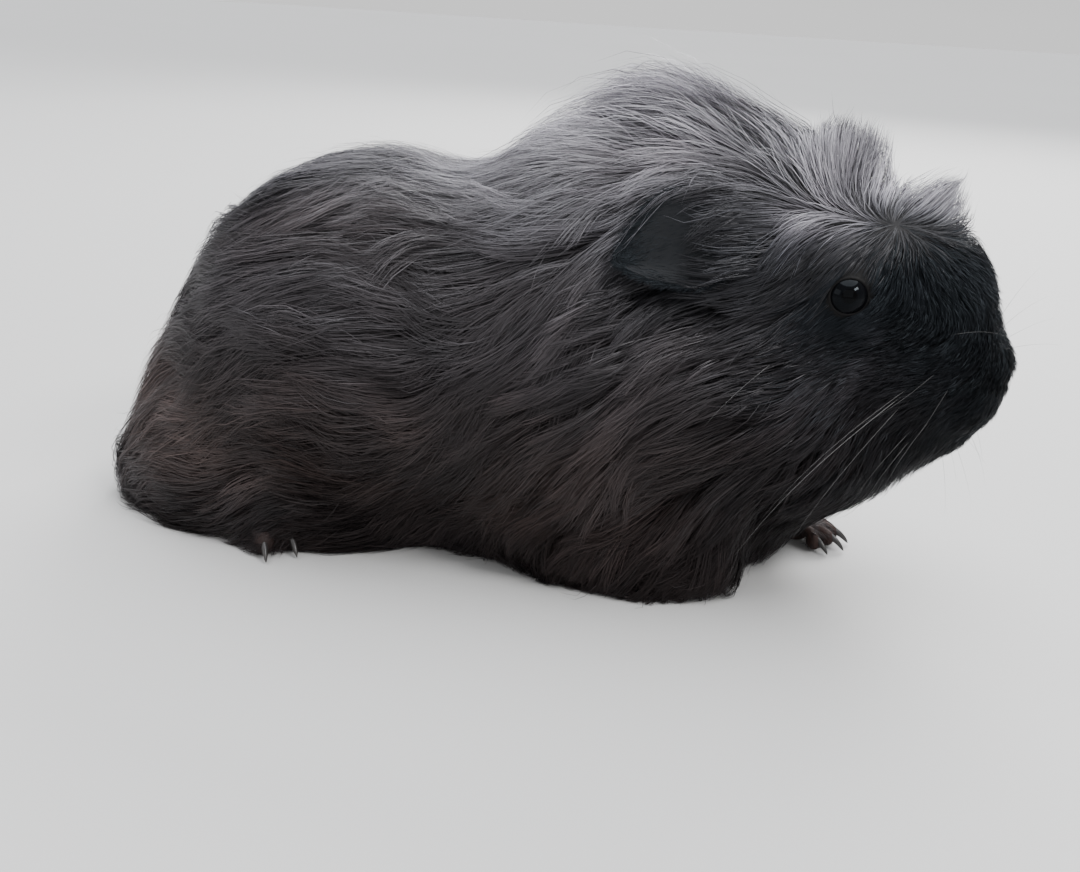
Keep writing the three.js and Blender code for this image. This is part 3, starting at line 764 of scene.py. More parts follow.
def ear_surface(side, t, w):
    """Middle of the ear at t along it and w across, from -1 to 1."""
    root, along, n, across, length = ear_frame(side)
    wide = ear_breadth(t)
    q = root + along * (t * length)[:, None] + across * (w * wide - 1.5 * (1 - t))[:, None]
    for _ in range(3):
        q = q - n * coat(from_head(q))[:, None]
    rise = -1.6 + 2.5 * np.clip(t, 0, 1) ** 0.6 + 0.9 * (w**2) * t
    rise = rise + 1.3 * np.exp(-(((w + 0.95) / 0.35) ** 2)) * np.clip(t * 2, 0, 1)
    rise = rise + 0.45 * np.sin(t * 8 + w * 3.4) * np.clip(t, 0, 1) * (0.4 + 0.6 * w**2)
    return q + n * rise[:, None], n


def make_ear(side, name, material):
    nt, nw = 30, 26
    t = np.linspace(-0.08, 1.0, nt)
    w = np.sin(np.linspace(-np.pi / 2, np.pi / 2, nw))
    T, W = np.meshgrid(t, w, indexing="ij")
    mid, n = ear_surface(side, np.clip(T.ravel(), -0.08, 0.9995), W.ravel())
    mid = mid.reshape(nt, nw, 3)
    # smooth the laid shape a little, so that the coat's forms don't print through
    for _ in range(3):
        m = mid.copy()
        m[1:-1, 1:-1] = mid[1:-1, 1:-1] * 0.4 + 0.15 * (mid[:-2, 1:-1] + mid[2:, 1:-1] + mid[1:-1, :-2] + mid[1:-1, 2:])
        mid = m
    du, dv = np.gradient(mid, axis=0), np.gradient(mid, axis=1)
    nn = unit(np.cross(du, dv))
    if (nn.reshape(-1, 3) @ n).mean() < 0:
        nn = -nn
    edge = np.sqrt(np.clip(1 - np.abs(W) ** 6, 0, 1)) * np.sqrt(np.clip(1 - (np.clip(T, 0, 1)) ** 10, 0, 1))
    thick = (0.28 + 0.5 * (1 - np.clip(T, 0, 1)) ** 1.5) * edge + 0.05
    top = from_head(mid + nn * thick[..., None])
    bottom = from_head(mid - nn * thick[..., None])
    pts = np.concatenate([top.reshape(-1, 3), bottom.reshape(-1, 3)])
    faces = []
    k = nt * nw
    at = lambda i, j: i * nw + j
    for i in range(nt - 1):
        for j in range(nw - 1):
            faces.append([at(i, j), at(i + 1, j), at(i + 1, j + 1), at(i, j + 1)])
            faces.append([k + at(i, j), k + at(i, j + 1), k + at(i + 1, j + 1), k + at(i + 1, j)])
    for i in range(nt - 1):
        faces.append([at(i, 0), k + at(i, 0), k + at(i + 1, 0), at(i + 1, 0)])
        faces.append([at(i, nw - 1), at(i + 1, nw - 1), k + at(i + 1, nw - 1), k + at(i, nw - 1)])
    for j in range(nw - 1):
        faces.append([at(0, j), at(0, j + 1), k + at(0, j + 1), k + at(0, j)])
        faces.append([at(nt - 1, j), k + at(nt - 1, j), k + at(nt - 1, j + 1), at(nt - 1, j + 1)])
    ob = new_object(name, pts, faces, [material])
    b = bmesh.new()
    b.from_mesh(ob.data)
    bmesh.ops.remove_doubles(b, verts=b.verts[:], dist=0.00002)
    bmesh.ops.recalc_face_normals(b, faces=b.faces[:])
    b.to_mesh(ob.data)
    b.free()
    rim = ob.data.attributes.new("rim", "FLOAT", "POINT")
    co = np.array([v.co[:] for v in ob.data.vertices]) * 1000 - SHIFT
    d = KDTree(k)
    for i, q in enumerate(from_head(mid).reshape(-1, 3).tolist()):
        d.insert(q, i)
    d.balance()
    val = np.maximum(np.abs(W), np.clip(T, 0, 1)).ravel()
    rim.data.foreach_set("value", np.array([val[d.find(q)[1]] for q in co.tolist()], np.float32))
    sub = ob.modifiers.new("smooth", "SUBSURF")
    sub.levels = sub.render_levels = 1
    return ob


def ear_cover(p):
    """For points in body frame: inside the ear's outline, and height over the ear's middle."""
    inside = np.zeros(len(p), bool)
    height = np.full(len(p), 99.0)
    h = to_head(p)
    for side in (-1, 1):
        root, along, n, across, length = ear_frame(side)
        r = h - root
        t = (r @ along) / length
        wide = np.maximum(ear_breadth(np.clip(t, 0, 1)), 0.1)
        w = ((r @ across) + 1.5 * (1 - t)) / wide
        here = (t > -0.02) & (t < 1.02) & (np.abs(w) < 1.03) & ((r @ n) > -14) & ((r @ n) < 16)
        if here.any():
            mid, _ = ear_surface(side, np.clip(t[here], 0, 0.999), np.clip(w[here], -1, 1))
            height[here] = ((h[here] - mid) @ n)
            inside |= here
    return inside, height


def ear_reach(p):
    """How far down an ear a point is, 0 at its root and 1 at its tip."""
    h = to_head(p)
    h = h * np.where(h[:, 1:2] > 0, [[1, -1, 1]], [[1, 1, 1]])
    root, along, _, _, length = ear_frame(-1)
    return np.clip((h - root) @ along / length, 0, 1)


# ------------------------------------------------------------------ lie of the coat

# Which way the hair lies, at places on the right side: place, direction, and how far it leaves the body's surface.
LIE = [
    (B, -72, -22, 79, -0.8, 0.2, -0.6, 0), (B, -57, -14, 91, -0.9, 0.3, -0.2, 0), (B, -37, -11, 95, -1, -0.2, 0, 0),
    (B, -21, -12, 93, -1, 0.2, 0.1, 0), (B, -77, -30, 66, -0.7, 0.4, -0.6, 0), (B, -87, -29, 49, -0.6, 0.3, -0.7, 0),
    (B, -94, -30, 32, -0.6, 0.1, -0.8, 0), (B, -102, -31, 15, -0.6, 0.4, -0.7, 0), (B, -48, -32, 84, -0.9, -0.2, -0.4, 0),
    (B, -29, -30, 85, -0.8, -0.5, -0.2, 0), (B, -14, -25, 86, -1, -0.1, -0.1, 0), (B, -52, -40, 73, -1, 0.1, -0.2, 0),
    (B, -32, -40, 76, -1, -0.2, -0.2, 0), (B, 1, -34, 82, -1, 0.3, 0, 0), (B, -58, -45, 60, -0.9, 0.3, -0.3, 0),
    (B, -39, -47, 63, -0.8, -0.2, -0.6, 0), (B, -23, -44, 66, -0.7, -0.4, -0.5, 0), (B, -8, -40, 67, -1, -0.1, -0.3, 0),
    (B, -67, -44, 43, -0.9, 0.3, -0.4, 0), (B, -40, -50, 47, -1, 0, 0.1, 0), (B, -22, -48, 48, -1, -0.3, -0.1, 0),
    (B, -84, -40, 24, -0.9, 0.3, -0.2, 0), (B, -61, -47, 30, -0.9, 0.2, -0.4, 0), (B, -36, -49, 35, -1, -0.1, 0.1, 0),
    (B, -18, -46, 36, -1, -0.2, 0, 0), (B, -71, -45, 12, -0.9, 0.1, -0.4, 0), (B, -51, -46, 15, -1, 0, -0.3, 0),
    (B, -31, -44, 21, -0.8, 0, -0.6, 0), (B, -6, -45, 47, -0.5, 0, -0.8, 0), (B, -9, -43, 32, -0.4, 0.2, -0.9, 0),
    (B, 1, -42, 22, -0.5, 0.3, -0.8, 0), (B, 10, -46, 55, -0.8, 0, -0.6, 0), (B, 9, -43, 67, -0.8, 0, -0.6, 0),
    (B, -7, -3, 100, -0.95, 0.1, 0, 0.05), (B, 4, -10, 105, -0.85, 0.15, 0.4, 0.2), (B, 2, -24, 94, -0.95, 0.2, 0, 0),
    (B, 14, -31, 90, -1, -0.1, -0.2, 0), (B, 22, -14, 110, -0.95, 0.2, 0.25, 0.15), (B, 27, -9, 117, -0.9, 0.3, 0.4, 0.25),
    (B, 29, -36, 77, -0.8, -0.5, -0.3, 0), (B, 19, -45, 58, -0.9, -0.2, -0.5, 0), (B, 37, -41, 52, -0.9, -0.3, -0.4, 0),
    (B, 20, -46, 42, -0.8, -0.1, -0.6, 0), (B, 52, -34, 64, -1, -0.2, -0.1, 0), (B, 69, -30, 65, -0.9, -0.3, 0, 0),
    (B, 85, -25, 68, -1, -0.2, 0.2, 0), (B, 54, -39, 49, -0.8, -0.2, -0.6, 0), (B, 71, -33, 50, -0.8, -0.5, -0.4, 0),
    (B, 87, -23, 54, -0.8, -0.1, -0.6, 0), (B, 42, -40, 36, -0.9, -0.1, -0.4, 0), (B, 60, -35, 35, -0.8, 0, -0.5, 0),
    (B, 77, -29, 38, -0.6, -0.2, -0.7, 0), (B, 92, -20, 41, -0.5, 0, -0.8, 0), (B, 21, -43, 21, -0.6, 0.1, -0.8, 0),
    (B, 11, -38, 7, -0.3, 0.4, -0.9, 0), (B, 35, -40, 17, -0.7, -0.1, -0.7, 0), (B, 51, -35, 13, -0.5, -0.2, -0.8, 0),
    (B, 40, -38, 4, -0.2, 0.1, -1, 0), (B, 62, -27, 11, -0.5, -0.6, -0.7, 0), (B, 82, -23, 28, -0.5, 0.2, -0.8, 0),
    (B, 100, -18, 44, -0.6, 0.1, -0.8, 0), (B, 97, -23, 62, -0.9, -0.2, 0.3, 0), (B, 109, -18, 60, -0.9, -0.5, -0.1, 0),
    (B, 83, -25, 70, -1, -0.3, 0.1, 0), (H, 73, 0, 105, 0, 0, 1, 0.85), (H, 80, 0, 102, 0.5, 0, 0.87, 0.85),
    (H, 100, 0, 81, 0.7, 0, -0.7, 0), (H, 106, 0, 74, 0.5, 0, -0.85, 0), (H, 112, 0, 68, 0.3, 0, -1, 0),
    (H, 116, -3, 52, 0.1, -0.4, -0.85, 0.12), (H, 113, -8, 56, -0.5, -0.6, -0.35, 0.08), (H, 105, -5, 41, -0.5, -0.1, -0.85, 0.12),
    (H, 90, 0, 36, -0.7, 0, -0.7, 0), (B, 30, 0, 121, -0.8, 0, 0.6, 0.4), (B, 10, 0, 113, -0.8, 0, 0.5, 0.3),
    (B, 48, 0, 118, -0.6, 0, 0.75, 0.45), (B, 60, 0, 112, -0.5, 0, 0.85, 0.5), (B, -16, 0, 99, -0.9, 0, 0.2, 0.1),
    (B, -40, 0, 98, -1, 0, 0, 0), (B, -62, 0, 93, -1, 0, -0.3, 0), (B, -85, 0, 78, -0.6, 0, -0.8, 0),
    (B, -100, 0, 55, -0.4, 0, -0.9, 0), (B, -108, 0, 25, -0.4, 0, -0.9, 0.1), (B, -106, -15, 30, -0.4, 0.1, -0.9, 0),
    (B, -90, -15, 68, -0.5, 0.1, -0.85, 0), (B, 78, 0, 22, -0.2, 0, -1, 0), (B, 76, -10, 10, -0.3, -0.2, -1, 0),
    (B, 86, 0, 34, -0.5, 0, -0.85, 0), (B, 20, 0, 3, -1, 0, 0, 0), (B, -40, 0, 3, -1, 0, 0, 0),
    (B, -85, -12, 3, -1, 0, 0, 0), (B, -52, -37, 9, 0.2, -0.9, -0.2, 0), (B, 76, 17, 8, 0.9, 0.3, -0.3, 0),
    # the swirls over the ear and eye, with the parting between them: hair above it stands, hair below it falls
    (H, 73, -8, 104, -0.02, 0.2, 1, 0.7), (H, 79, -7, 102, 0.38, 0.15, 0.9, 0.7), (H, 67, -8, 105, -0.4, 0.2, 0.9, 0.6),
    (H, 61, -10, 107, -0.65, 0.2, 0.75, 0.4), (H, 85, -5, 98, 0.66, 0.1, 0.75, 0.6), (H, 73, -12, 101, -0.1, 0.3, 0.95, 0.4),
    (H, 79, -11, 99, 0.16, 0.3, 0.94, 0.4), (H, 67, -13, 102, -0.38, 0.3, 0.88, 0.35), (H, 84, -9, 97, 0.42, 0.3, 0.86, 0.4),
    (H, 69, -16, 98, -0.45, 0.38, 0.8, 0.12), (H, 72, -15, 98, -0.26, 0.45, 0.85, 0.16), (H, 75, -14, 97, -0.12, 0.5, 0.86, 0.18),
    (H, 79, -13, 96, 0.0, 0.5, 0.87, 0.2), (H, 82, -11, 96, 0.15, 0.5, 0.85, 0.22), (H, 86, -9, 95, 0.45, 0.4, 0.8, 0.25),
    (H, 68, -20, 93, -0.83, -0.46, -0.33, 0), (H, 72, -20, 91, -0.73, -0.50, -0.45, 0), (H, 76, -19, 91, -0.74, -0.52, -0.43, 0),
    (H, 80, -18, 90, -0.71, -0.55, -0.43, 0), (H, 84, -16, 89, -0.60, -0.60, -0.52, 0), (H, 87, -15, 89, -0.25, -0.60, -0.75, 0),
    (H, 82, -15, 92, -0.84, -0.52, -0.16, 0), (H, 78, -17, 93, -0.87, -0.48, -0.16, 0), (H, 74, -18, 93, -0.87, -0.46, -0.20, 0),
    (H, 66, -17, 99, -0.75, 0.28, 0.59, 0), (H, 60, -13, 105, -0.76, 0.35, 0.55, 0.05), (H, 52, -10, 110, -0.87, 0.14, 0.48, 0.1),
    (H, 45, -10, 113, -0.91, -0.03, 0.41, 0.05), (H, 38, -12, 115, -0.97, -0.11, 0.22, 0.05),
    (H, 52, -18, 102, -0.95, -0.31, -0.06, 0), (H, 45, -21, 101, -0.93, -0.32, -0.15, 0), (H, 40, -25, 96, -0.90, -0.30, -0.25, 0),
    (H, 55, -22, 95, -0.95, -0.27, -0.16, 0), (H, 47, -26, 92, -0.93, -0.25, -0.27, 0), (H, 39, -30, 87, -0.88, -0.25, -0.38, 0),
    (H, 63, -20, 95, -0.93, -0.34, -0.10, 0), (H, 64, -22, 90, -0.86, -0.36, -0.32, 0), (H, 58, -26, 85, -0.90, -0.24, -0.34, 0),
    (H, 51, -29, 81, -0.90, -0.22, -0.36, 0), (H, 69, -23, 87, -0.68, -0.42, -0.60, 0), (H, 64, -26, 80, -0.83, -0.29, -0.48, 0),
    (H, 56, -29, 76, -0.90, -0.28, -0.33, 0), (H, 75, -21, 87, -0.53, -0.48, -0.70, 0), (H, 73, -23, 83, -0.50, -0.38, -0.78, 0),
    (H, 81, -20, 84, -0.42, -0.44, -0.80, 0), (H, 77, -22, 82, -0.46, -0.37, -0.81, 0),
    (H, 90, -13, 88, 0.45, -0.30, -0.84, 0), (H, 93, -13, 88, 0.71, -0.10, -0.70, 0), (H, 96, -13, 85, 0.70, -0.03, -0.71, 0),
    (H, 100, -13, 81, 0.60, 0.11, -0.79, 0), (H, 87, -17, 87, 0.14, -0.41, -0.90, 0), (H, 85, -19, 83, 0.08, -0.30, -0.95, 0),
    (H, 103, -12, 77, 0.47, 0.11, -0.88, 0), (H, 90, -16, 84, 0.49, -0.13, -0.86, 0), (H, 94, -11, 89, 0.84, 0.04, -0.52, 0),
    (H, 111, -4, 67, 0.1, -0.6, -0.75, 0.06), (H, 113, -5, 63, -0.1, -0.8, -0.5, 0.08), (H, 108, -8, 64, -0.4, -0.75, -0.45, 0.05),
    (H, 115, -3, 57, 0, -0.6, -0.8, 0.1), (H, 103, -12, 60, -0.85, -0.45, -0.1, 0.03), (H, 111, -5, 50, -0.35, -0.45, -0.8, 0.1),
    (H, 90, -8, 94, 0.62, 0.2, 0.74, 0.4), (H, 94, -7, 94, 0.72, 0.1, 0.68, 0.55), (H, 90, -2, 93, 0.5, 0, 0.87, 0.7),
    (H, 94, -3, 91, 0.6, 0, 0.8, 0.75), (H, 97, -5, 92, 0.75, 0.05, 0.6, 0.6), (H, 99, -5, 87, 0.85, 0, 0.1, 0.35),
]
lie_at, lie_dir = [], []
for where, x, y, z, dx, dy, dz, up in LIE:
    a, d = np.array([x, y, z], float), unit([dx, dy, dz])
    if where == H:
        a, d = from_head(a), dir_from_head(d)
    lie_at.append(a)
    lie_dir.append([*d, up])
    if abs(y) > 0.5:
        if a[0] > 45:
            m = from_head(to_head(a) * [1, -1, 1])
            e = dir_from_head(turned(d, -HEAD_TURN) * [1, -1, 1])
        else:
            m, e = a * [1, -1, 1], d * [1, -1, 1]
        lie_at.append(m)
        lie_dir.append([*e, up])
lie_at, lie_dir = np.array(lie_at), np.array(lie_dir)

print("fields")
CELL = 2.0
g_low = np.array([-122.0, -60.0, -4.0])
g_n = np.array([125, 61, 70])
g_axes = [g_low[i] + CELL * np.arange(g_n[i]) for i in range(3)]
g_pts = np.stack(np.meshgrid(*g_axes, indexing="ij"), -1).reshape(-1, 3)
g_coat = coat(g_pts)
g_skin = skin_plain(g_pts)
g_near = (g_coat < 26) & (g_skin > -8)
G = np.zeros((len(g_pts), 12), np.float32)
G[:, 0], G[:, 1] = g_coat, g_skin
for k, v in ((2, g_coat), (5, g_skin)):
    v = v.reshape(g_n)
    for i in range(3):
        G[:, k + i] = np.gradient(v, CELL, axis=i).ravel()
on_head = to_head(g_pts[g_near])
on_head = 1 / (1 + np.exp(-(on_head[:, 0] - 34) / 4)) * (1 / (1 + np.exp(-(on_head[:, 2] - 72) / 4)))
on_crown = on_head / (1 + np.exp(-(g_pts[g_near][:, 2] - 89) / 2.5))
G[g_near, 8:12] = nearest_blend(g_pts[g_near], lie_at, lie_dir, 9.5 - 4.3 * on_head - 1.5 * on_crown)
G = G.reshape(*g_n, 12)
del g_pts, g_coat, g_skin, g_near


def sample(p):
    q = np.clip((p - g_low) / CELL, 0, g_n - 1.001)
    i = q.astype(int)
    f = (q - i).astype(np.float32)
    out = np.zeros((len(p), 12), np.float32)
    for a in (0, 1):
        for b in (0, 1):
            for c in (0, 1):
                w = (f[:, 0] if a else 1 - f[:, 0]) * (f[:, 1] if b else 1 - f[:, 1]) * (f[:, 2] if c else 1 - f[:, 2])
                out += w[:, None] * G[i[:, 0] + a, i[:, 1] + b, i[:, 2] + c]
    return out


wave_k = unit(rng.normal(size=(12, 3))) * (2 * np.pi / rng.uniform(34, 90, 12))[:, None]
wave_v = rng.normal(size=(12, 3)) * (1 / np.sqrt(12))
wave_f = rng.uniform(0, 6.28, 12)


def waves(p):
    return np.sin(p @ wave_k.T + wave_f) @ wave_v


def grow(root, length, layer, twist, gain, steps):
    """Hairs as paths of steps + 1 points, rising from the skin to their layer of the coat as they follow its lie."""
    p = root.copy()
    path, normal = [p.copy()], []
    step = length / steps
    for k in range(steps):
        v = sample(p)
        thick = np.maximum(v[:, 1] - v[:, 0], 0.5)
        height = np.clip(v[:, 1] / thick, -0.3, 2.0)
        mix = np.clip(height, 0, 1)[:, None]
        n = unit(v[:, 5:8] * (1 - mix) + v[:, 2:5] * mix)
        d = v[:, 8:11] + waves(p) * gain[:, None]
        t = unit(d - (d * n).sum(1, keepdims=True) * n)
        b = np.cross(n, t)
        t = t * np.cos(twist)[:, None] + b * np.sin(twist)[:, None]
        goal = layer * (1 - (1 - (k + 1) / steps) ** 2.0)
        climb = np.clip((goal - height) * thick / step, -0.6, 0.85)[:, None]
        go = t * np.sqrt(1 - climb**2) + n * climb
        up = v[:, 11:12]
        go = unit(go * (1 - up) + unit(d) * up)
        p = p + go * step[:, None]
        low = p[:, 2] < FLOOR_GAP
        p[low, 2] = FLOOR_GAP
        path.append(p.copy())
        normal.append(n)
    normal.append(normal[-1])
    return np.stack(path, 1), np.stack(normal, 1)


# ------------------------------------------------------------------ materials


class Nodes:
    """Short calls for building a material's nodes."""

    def __init__(self, name):
        self.material = bpy.data.materials.new(name)
        self.material.use_nodes = True
        self.tree = self.material.node_tree
        self.out = next(n for n in self.tree.nodes if n.type == "BSDF_PRINCIPLED")

    def add(self, kind, **values):
        node = self.tree.nodes.new(kind)
        for k, v in values.items():
            setattr(node, k, v)
        return node

    def link(self, a, b):
        self.tree.links.new(a, b)

    def put(self, socket, value):
        if hasattr(value, "is_output"):
            self.link(value, socket)
        elif hasattr(value, "__len__") and len(value) == 3 and socket.type == "RGBA":
            socket.default_value = (*value, 1.0)
        else:
            socket.default_value = value

    def set(self, **values):
        for k, v in values.items():
            self.put(self.out.inputs[k.replace("_", " ")], v)

    def attribute(self, name):
        return self.add("ShaderNodeAttribute", attribute_name=name)

    def math(self, op, a, b=0.0, c=0.0, clamp=False):
        n = self.add("ShaderNodeMath", operation=op, use_clamp=clamp)
        for socket, value in zip(n.inputs, (a, b, c)):
            self.put(socket, value)
        return n.outputs[0]

    def mix(self, factor, a, b, blend="MIX"):
        n = self.add("ShaderNodeMix", data_type="RGBA", blend_type=blend)
        self.put(n.inputs[0], factor)
        self.put(n.inputs[6], a)
        self.put(n.inputs[7], b)
        return n.outputs[2]

    def noise(self, scale, detail=3.0, rough=0.55, vector=None):
        n = self.add("ShaderNodeTexNoise")
        n.inputs["Scale"].default_value = scale
        n.inputs["Detail"].default_value = detail
        n.inputs["Roughness"].default_value = rough
        if vector is None:
            vector = self.add("ShaderNodeTexCoord").outputs["Object"]
        self.link(vector, n.inputs["Vector"])
        return n.outputs[0]

    def ramp(self, value, *stops):
        n = self.add("ShaderNodeValToRGB")
        while len(n.color_ramp.elements) < len(stops):
            n.color_ramp.elements.new(0.5)
        for e, (at, colour) in zip(n.color_ramp.elements, stops):
            e.position = at
            e.color = (*colour, 1.0) if len(colour) == 3 else colour
        self.link(value, n.inputs[0])
        return n.outputs[0]

    def bump(self, height, strength, distance):
        n = self.add("ShaderNodeBump")
        n.inputs["Strength"].default_value = strength
        n.inputs["Distance"].default_value = distance
        self.link(height, n.inputs["Height"])
        return n.outputs[0]


BLACK = (0.0114, 0.0106, 0.0119)
BROWN = (0.034, 0.0218, 0.0180)
# Pale colour for hair tips: a painted glow of light through backlit hair ends.
BACKLIT_PALE = (0.62, 0.62, 0.655)
# Cool colour: a painted cast of skylight in the shade, mixed in where brown falls below nought.
COOL_SKY_CAST = (0.0076, 0.0100, 0.0134)


def coat_material(name, gloss, sheen, tint):
    m = Nodes(name)
    a = m.attribute("coat")
    split = m.add("ShaderNodeSeparateColor")
    m.link(a.outputs["Color"], split.inputs[0])
    tone, along, brown = split.outputs[0], split.outputs[1], split.outputs[2]
    tip_glow = a.outputs["Alpha"]
    patch = m.noise(60.0, 2.0)
    base = m.mix(m.math("MULTIPLY", brown, m.math("ADD", patch, 0.4), clamp=True), BLACK, BROWN)
    # Brown below nought mixes in a painted cool cast of skylight.
    base = m.mix(m.math("MULTIPLY", brown, -1.0, clamp=True), base, COOL_SKY_CAST)
    # Painted shade: each hair is darker at its root, deep in the coat, and lighter out at its tip.
    root_shade = m.math("ADD", m.math("MULTIPLY", along, 0.64), 0.59)
    lit = m.math("MULTIPLY", tone, root_shade)
    gain = m.add("ShaderNodeCombineColor")
    for i in range(3):
        m.link(lit, gain.inputs[i])
    base = m.mix(1.0, base, gain.outputs[0], "MULTIPLY")
    # Painted backlit glow towards the tips of strands in the painted sheen.
    tip = m.math("MULTIPLY", m.math("POWER", along, 2.2), tip_glow, clamp=True)
    base = m.mix(tip, base, BACKLIT_PALE)
    m.set(Base_Color=base, Roughness=m.math("ADD", m.math("MULTIPLY", patch, 0.12), 0.38))
    m.out.inputs["Specular IOR Level"].default_value = gloss
    m.out.inputs["Specular Tint"].default_value = tint
    m.out.inputs["Sheen Weight"].default_value = sheen
    m.out.inputs["Sheen Roughness"].default_value = 0.4
    m.out.inputs["Sheen Tint"].default_value = (0.85, 0.87, 1.0, 1.0)
    return m.material


def skin_material():
    m = Nodes("skin")
    a = m.attribute("skin_tone")
    split = m.add("ShaderNodeSeparateColor")
    m.link(a.outputs["Color"], split.inputs[0])
    bare, pink, moist = split.outputs[0], split.outputs[1], split.outputs[2]
    mottled = m.noise(420.0, 4.0, 0.6)
    fine = m.noise(2600.0, 3.0, 0.6)
    dark = m.mix(mottled, (0.0095, 0.0092, 0.0100), (0.0150, 0.0140, 0.0146))
    naked = m.mix(mottled, (0.0028, 0.0027, 0.0030), (0.0070, 0.0060, 0.0062))
    rosy = m.mix(mottled, (0.050, 0.026, 0.021), (0.10, 0.055, 0.045))
    base = m.mix(bare, dark, naked)
    base = m.mix(pink, base, rosy)
    # Alpha takes the skin to near black: painted shade in the nostrils and the groove down the lip, and the lids' own
    # dark skin round the eyes.
    base = m.mix(a.outputs["Alpha"], (0.0012, 0.0010, 0.0010), base)
    cell = m.add("ShaderNodeTexVoronoi")
    cell.inputs["Scale"].default_value = 1500.0
    m.link(m.add("ShaderNodeTexCoord").outputs["Object"], cell.inputs["Vector"])
    height = m.math("ADD", m.math("MULTIPLY", cell.outputs[0], 0.9), m.math("MULTIPLY", fine, 0.6))
    rough = m.math("SUBTRACT", m.math("ADD", m.math("MULTIPLY", mottled, 0.14), 0.56), m.math("MULTIPLY", moist, 0.34))
    m.set(Base_Color=base, Roughness=rough, Normal=m.bump(height, 0.35, 0.00012))
    m.out.inputs["Specular IOR Level"].default_value = 0.13
    return m.material


def ear_material():
    m = Nodes("ear_skin")
    rim = m.attribute("rim").outputs["Fac"]
    broad = m.noise(90.0, 3.0)
    fine = m.noise(900.0, 4.0, 0.6)
    base = m.mix(broad, (0.0020, 0.0026, 0.0036), (0.0044, 0.0052, 0.0066))
    edge = m.math("POWER", rim, 22.0, clamp=True)
    base = m.mix(m.math("MULTIPLY", edge, 0.4), base, (0.030, 0.029, 0.032))
    veins = m.math("SMOOTH_MIN", m.math("ABSOLUTE", m.math("SUBTRACT", broad, 0.5)), 0.08, 0.05)
    height = m.math("ADD", m.math("MULTIPLY", fine, 0.5), m.math("MULTIPLY", veins, 3.0))
    m.set(Base_Color=base, Roughness=m.math("ADD", m.math("MULTIPLY", fine, 0.2), 0.56), Normal=m.bump(height, 0.3, 0.0002))
    m.out.inputs["Specular IOR Level"].default_value = 0.14
    m.out.inputs["Sheen Weight"].default_value = 0.02
    return m.material


def eye_material():
    m = Nodes("eye")
    r = m.attribute("ring").outputs["Fac"]
    streak = m.noise(1500.0, 4.0, 0.7)
    iris = m.mix(streak, (0.0014, 0.0015, 0.0019), (0.0032, 0.0033, 0.0040))
    base = m.mix(m.math("MULTIPLY", m.math("SUBTRACT", r, 0.34), 9.0, clamp=True), (0.0012, 0.001, 0.001), iris)
    base = m.mix(m.math("MULTIPLY", m.math("SUBTRACT", r, 0.74), 7.0, clamp=True), base, (0.0024, 0.0025, 0.0030))
    wet = m.math("ADD", m.math("MULTIPLY", m.noise(300.0), 0.03), 0.035)
    m.set(Base_Color=base, Roughness=wet)
    m.out.inputs["Specular IOR Level"].default_value = 0.085
    m.out.inputs["Specular Tint"].default_value = (0.78, 0.9, 1, 1)
    m.out.inputs["IOR"].default_value = 1.38
    m.out.inputs["Coat Weight"].default_value = 0.01
    m.out.inputs["Coat Roughness"].default_value = 0.02
    return m.material


def claw_material():
    m = Nodes("claw")
    t = m.attribute("along").outputs["Fac"]
    grain = m.noise(900.0, 3.0)
    base = m.mix(t, (0.008, 0.0075, 0.0075), (0.032, 0.029, 0.027))
    base = m.mix(m.math("MULTIPLY", grain, 0.5), base, (0.015, 0.0135, 0.013))
    m.set(Base_Color=base, Roughness=m.math("ADD", m.math("MULTIPLY", grain, 0.2), 0.30), Normal=m.bump(grain, 0.2, 0.0001))
    m.out.inputs["Specular IOR Level"].default_value = 0.42
    m.out.inputs["Coat Weight"].default_value = 0.1
    m.out.inputs["Coat Roughness"].default_value = 0.2
    return m.material


def whisker_material():
    m = Nodes("whisker")
    a = m.attribute("coat")
    split = m.add("ShaderNodeSeparateColor")
    m.link(a.outputs["Color"], split.inputs[0])
    grain = m.noise(700.0, 2.0)
    base = m.mix(split.outputs[0], (0.012, 0.011, 0.011), (0.15, 0.148, 0.146))
    base = m.mix(m.math("MULTIPLY", grain, 0.3), base, (0.12, 0.11, 0.11))
    m.set(Base_Color=base, Roughness=m.math("ADD", m.math("MULTIPLY", grain, 0.2), 0.3))
    return m.material


def floor_material():
    m = Nodes("studio_floor")
    cloud = m.noise(2.2, 4.0)
    fine = m.noise(220.0, 3.0)
    base = m.mix(cloud, (0.395, 0.39, 0.383), (0.43, 0.425, 0.418))
    m.set(Base_Color=base, Roughness=m.math("ADD", m.math("MULTIPLY", cloud, 0.15), 0.62), Normal=m.bump(fine, 0.06, 0.0004))
    m.out.inputs["Specular IOR Level"].default_value = 0.3
    return m.material


COAT = coat_material("coat_hair", 0.25, 0.05, (0.98, 0.96, 1, 1))
DARK_COAT = coat_material("coat_hair_face", 0.10, 0.01, (0.72, 0.88, 1, 1))
LOW_COAT = coat_material("coat_hair_low", 0.12, 0.02, (1, 0.93, 0.96, 1))
SKIN_M, EAR_M, EYE_M, CLAW_M, WHISKER_M = skin_material(), ear_material(), eye_material(), claw_material(), whisker_material()

# ------------------------------------------------------------------ the coat

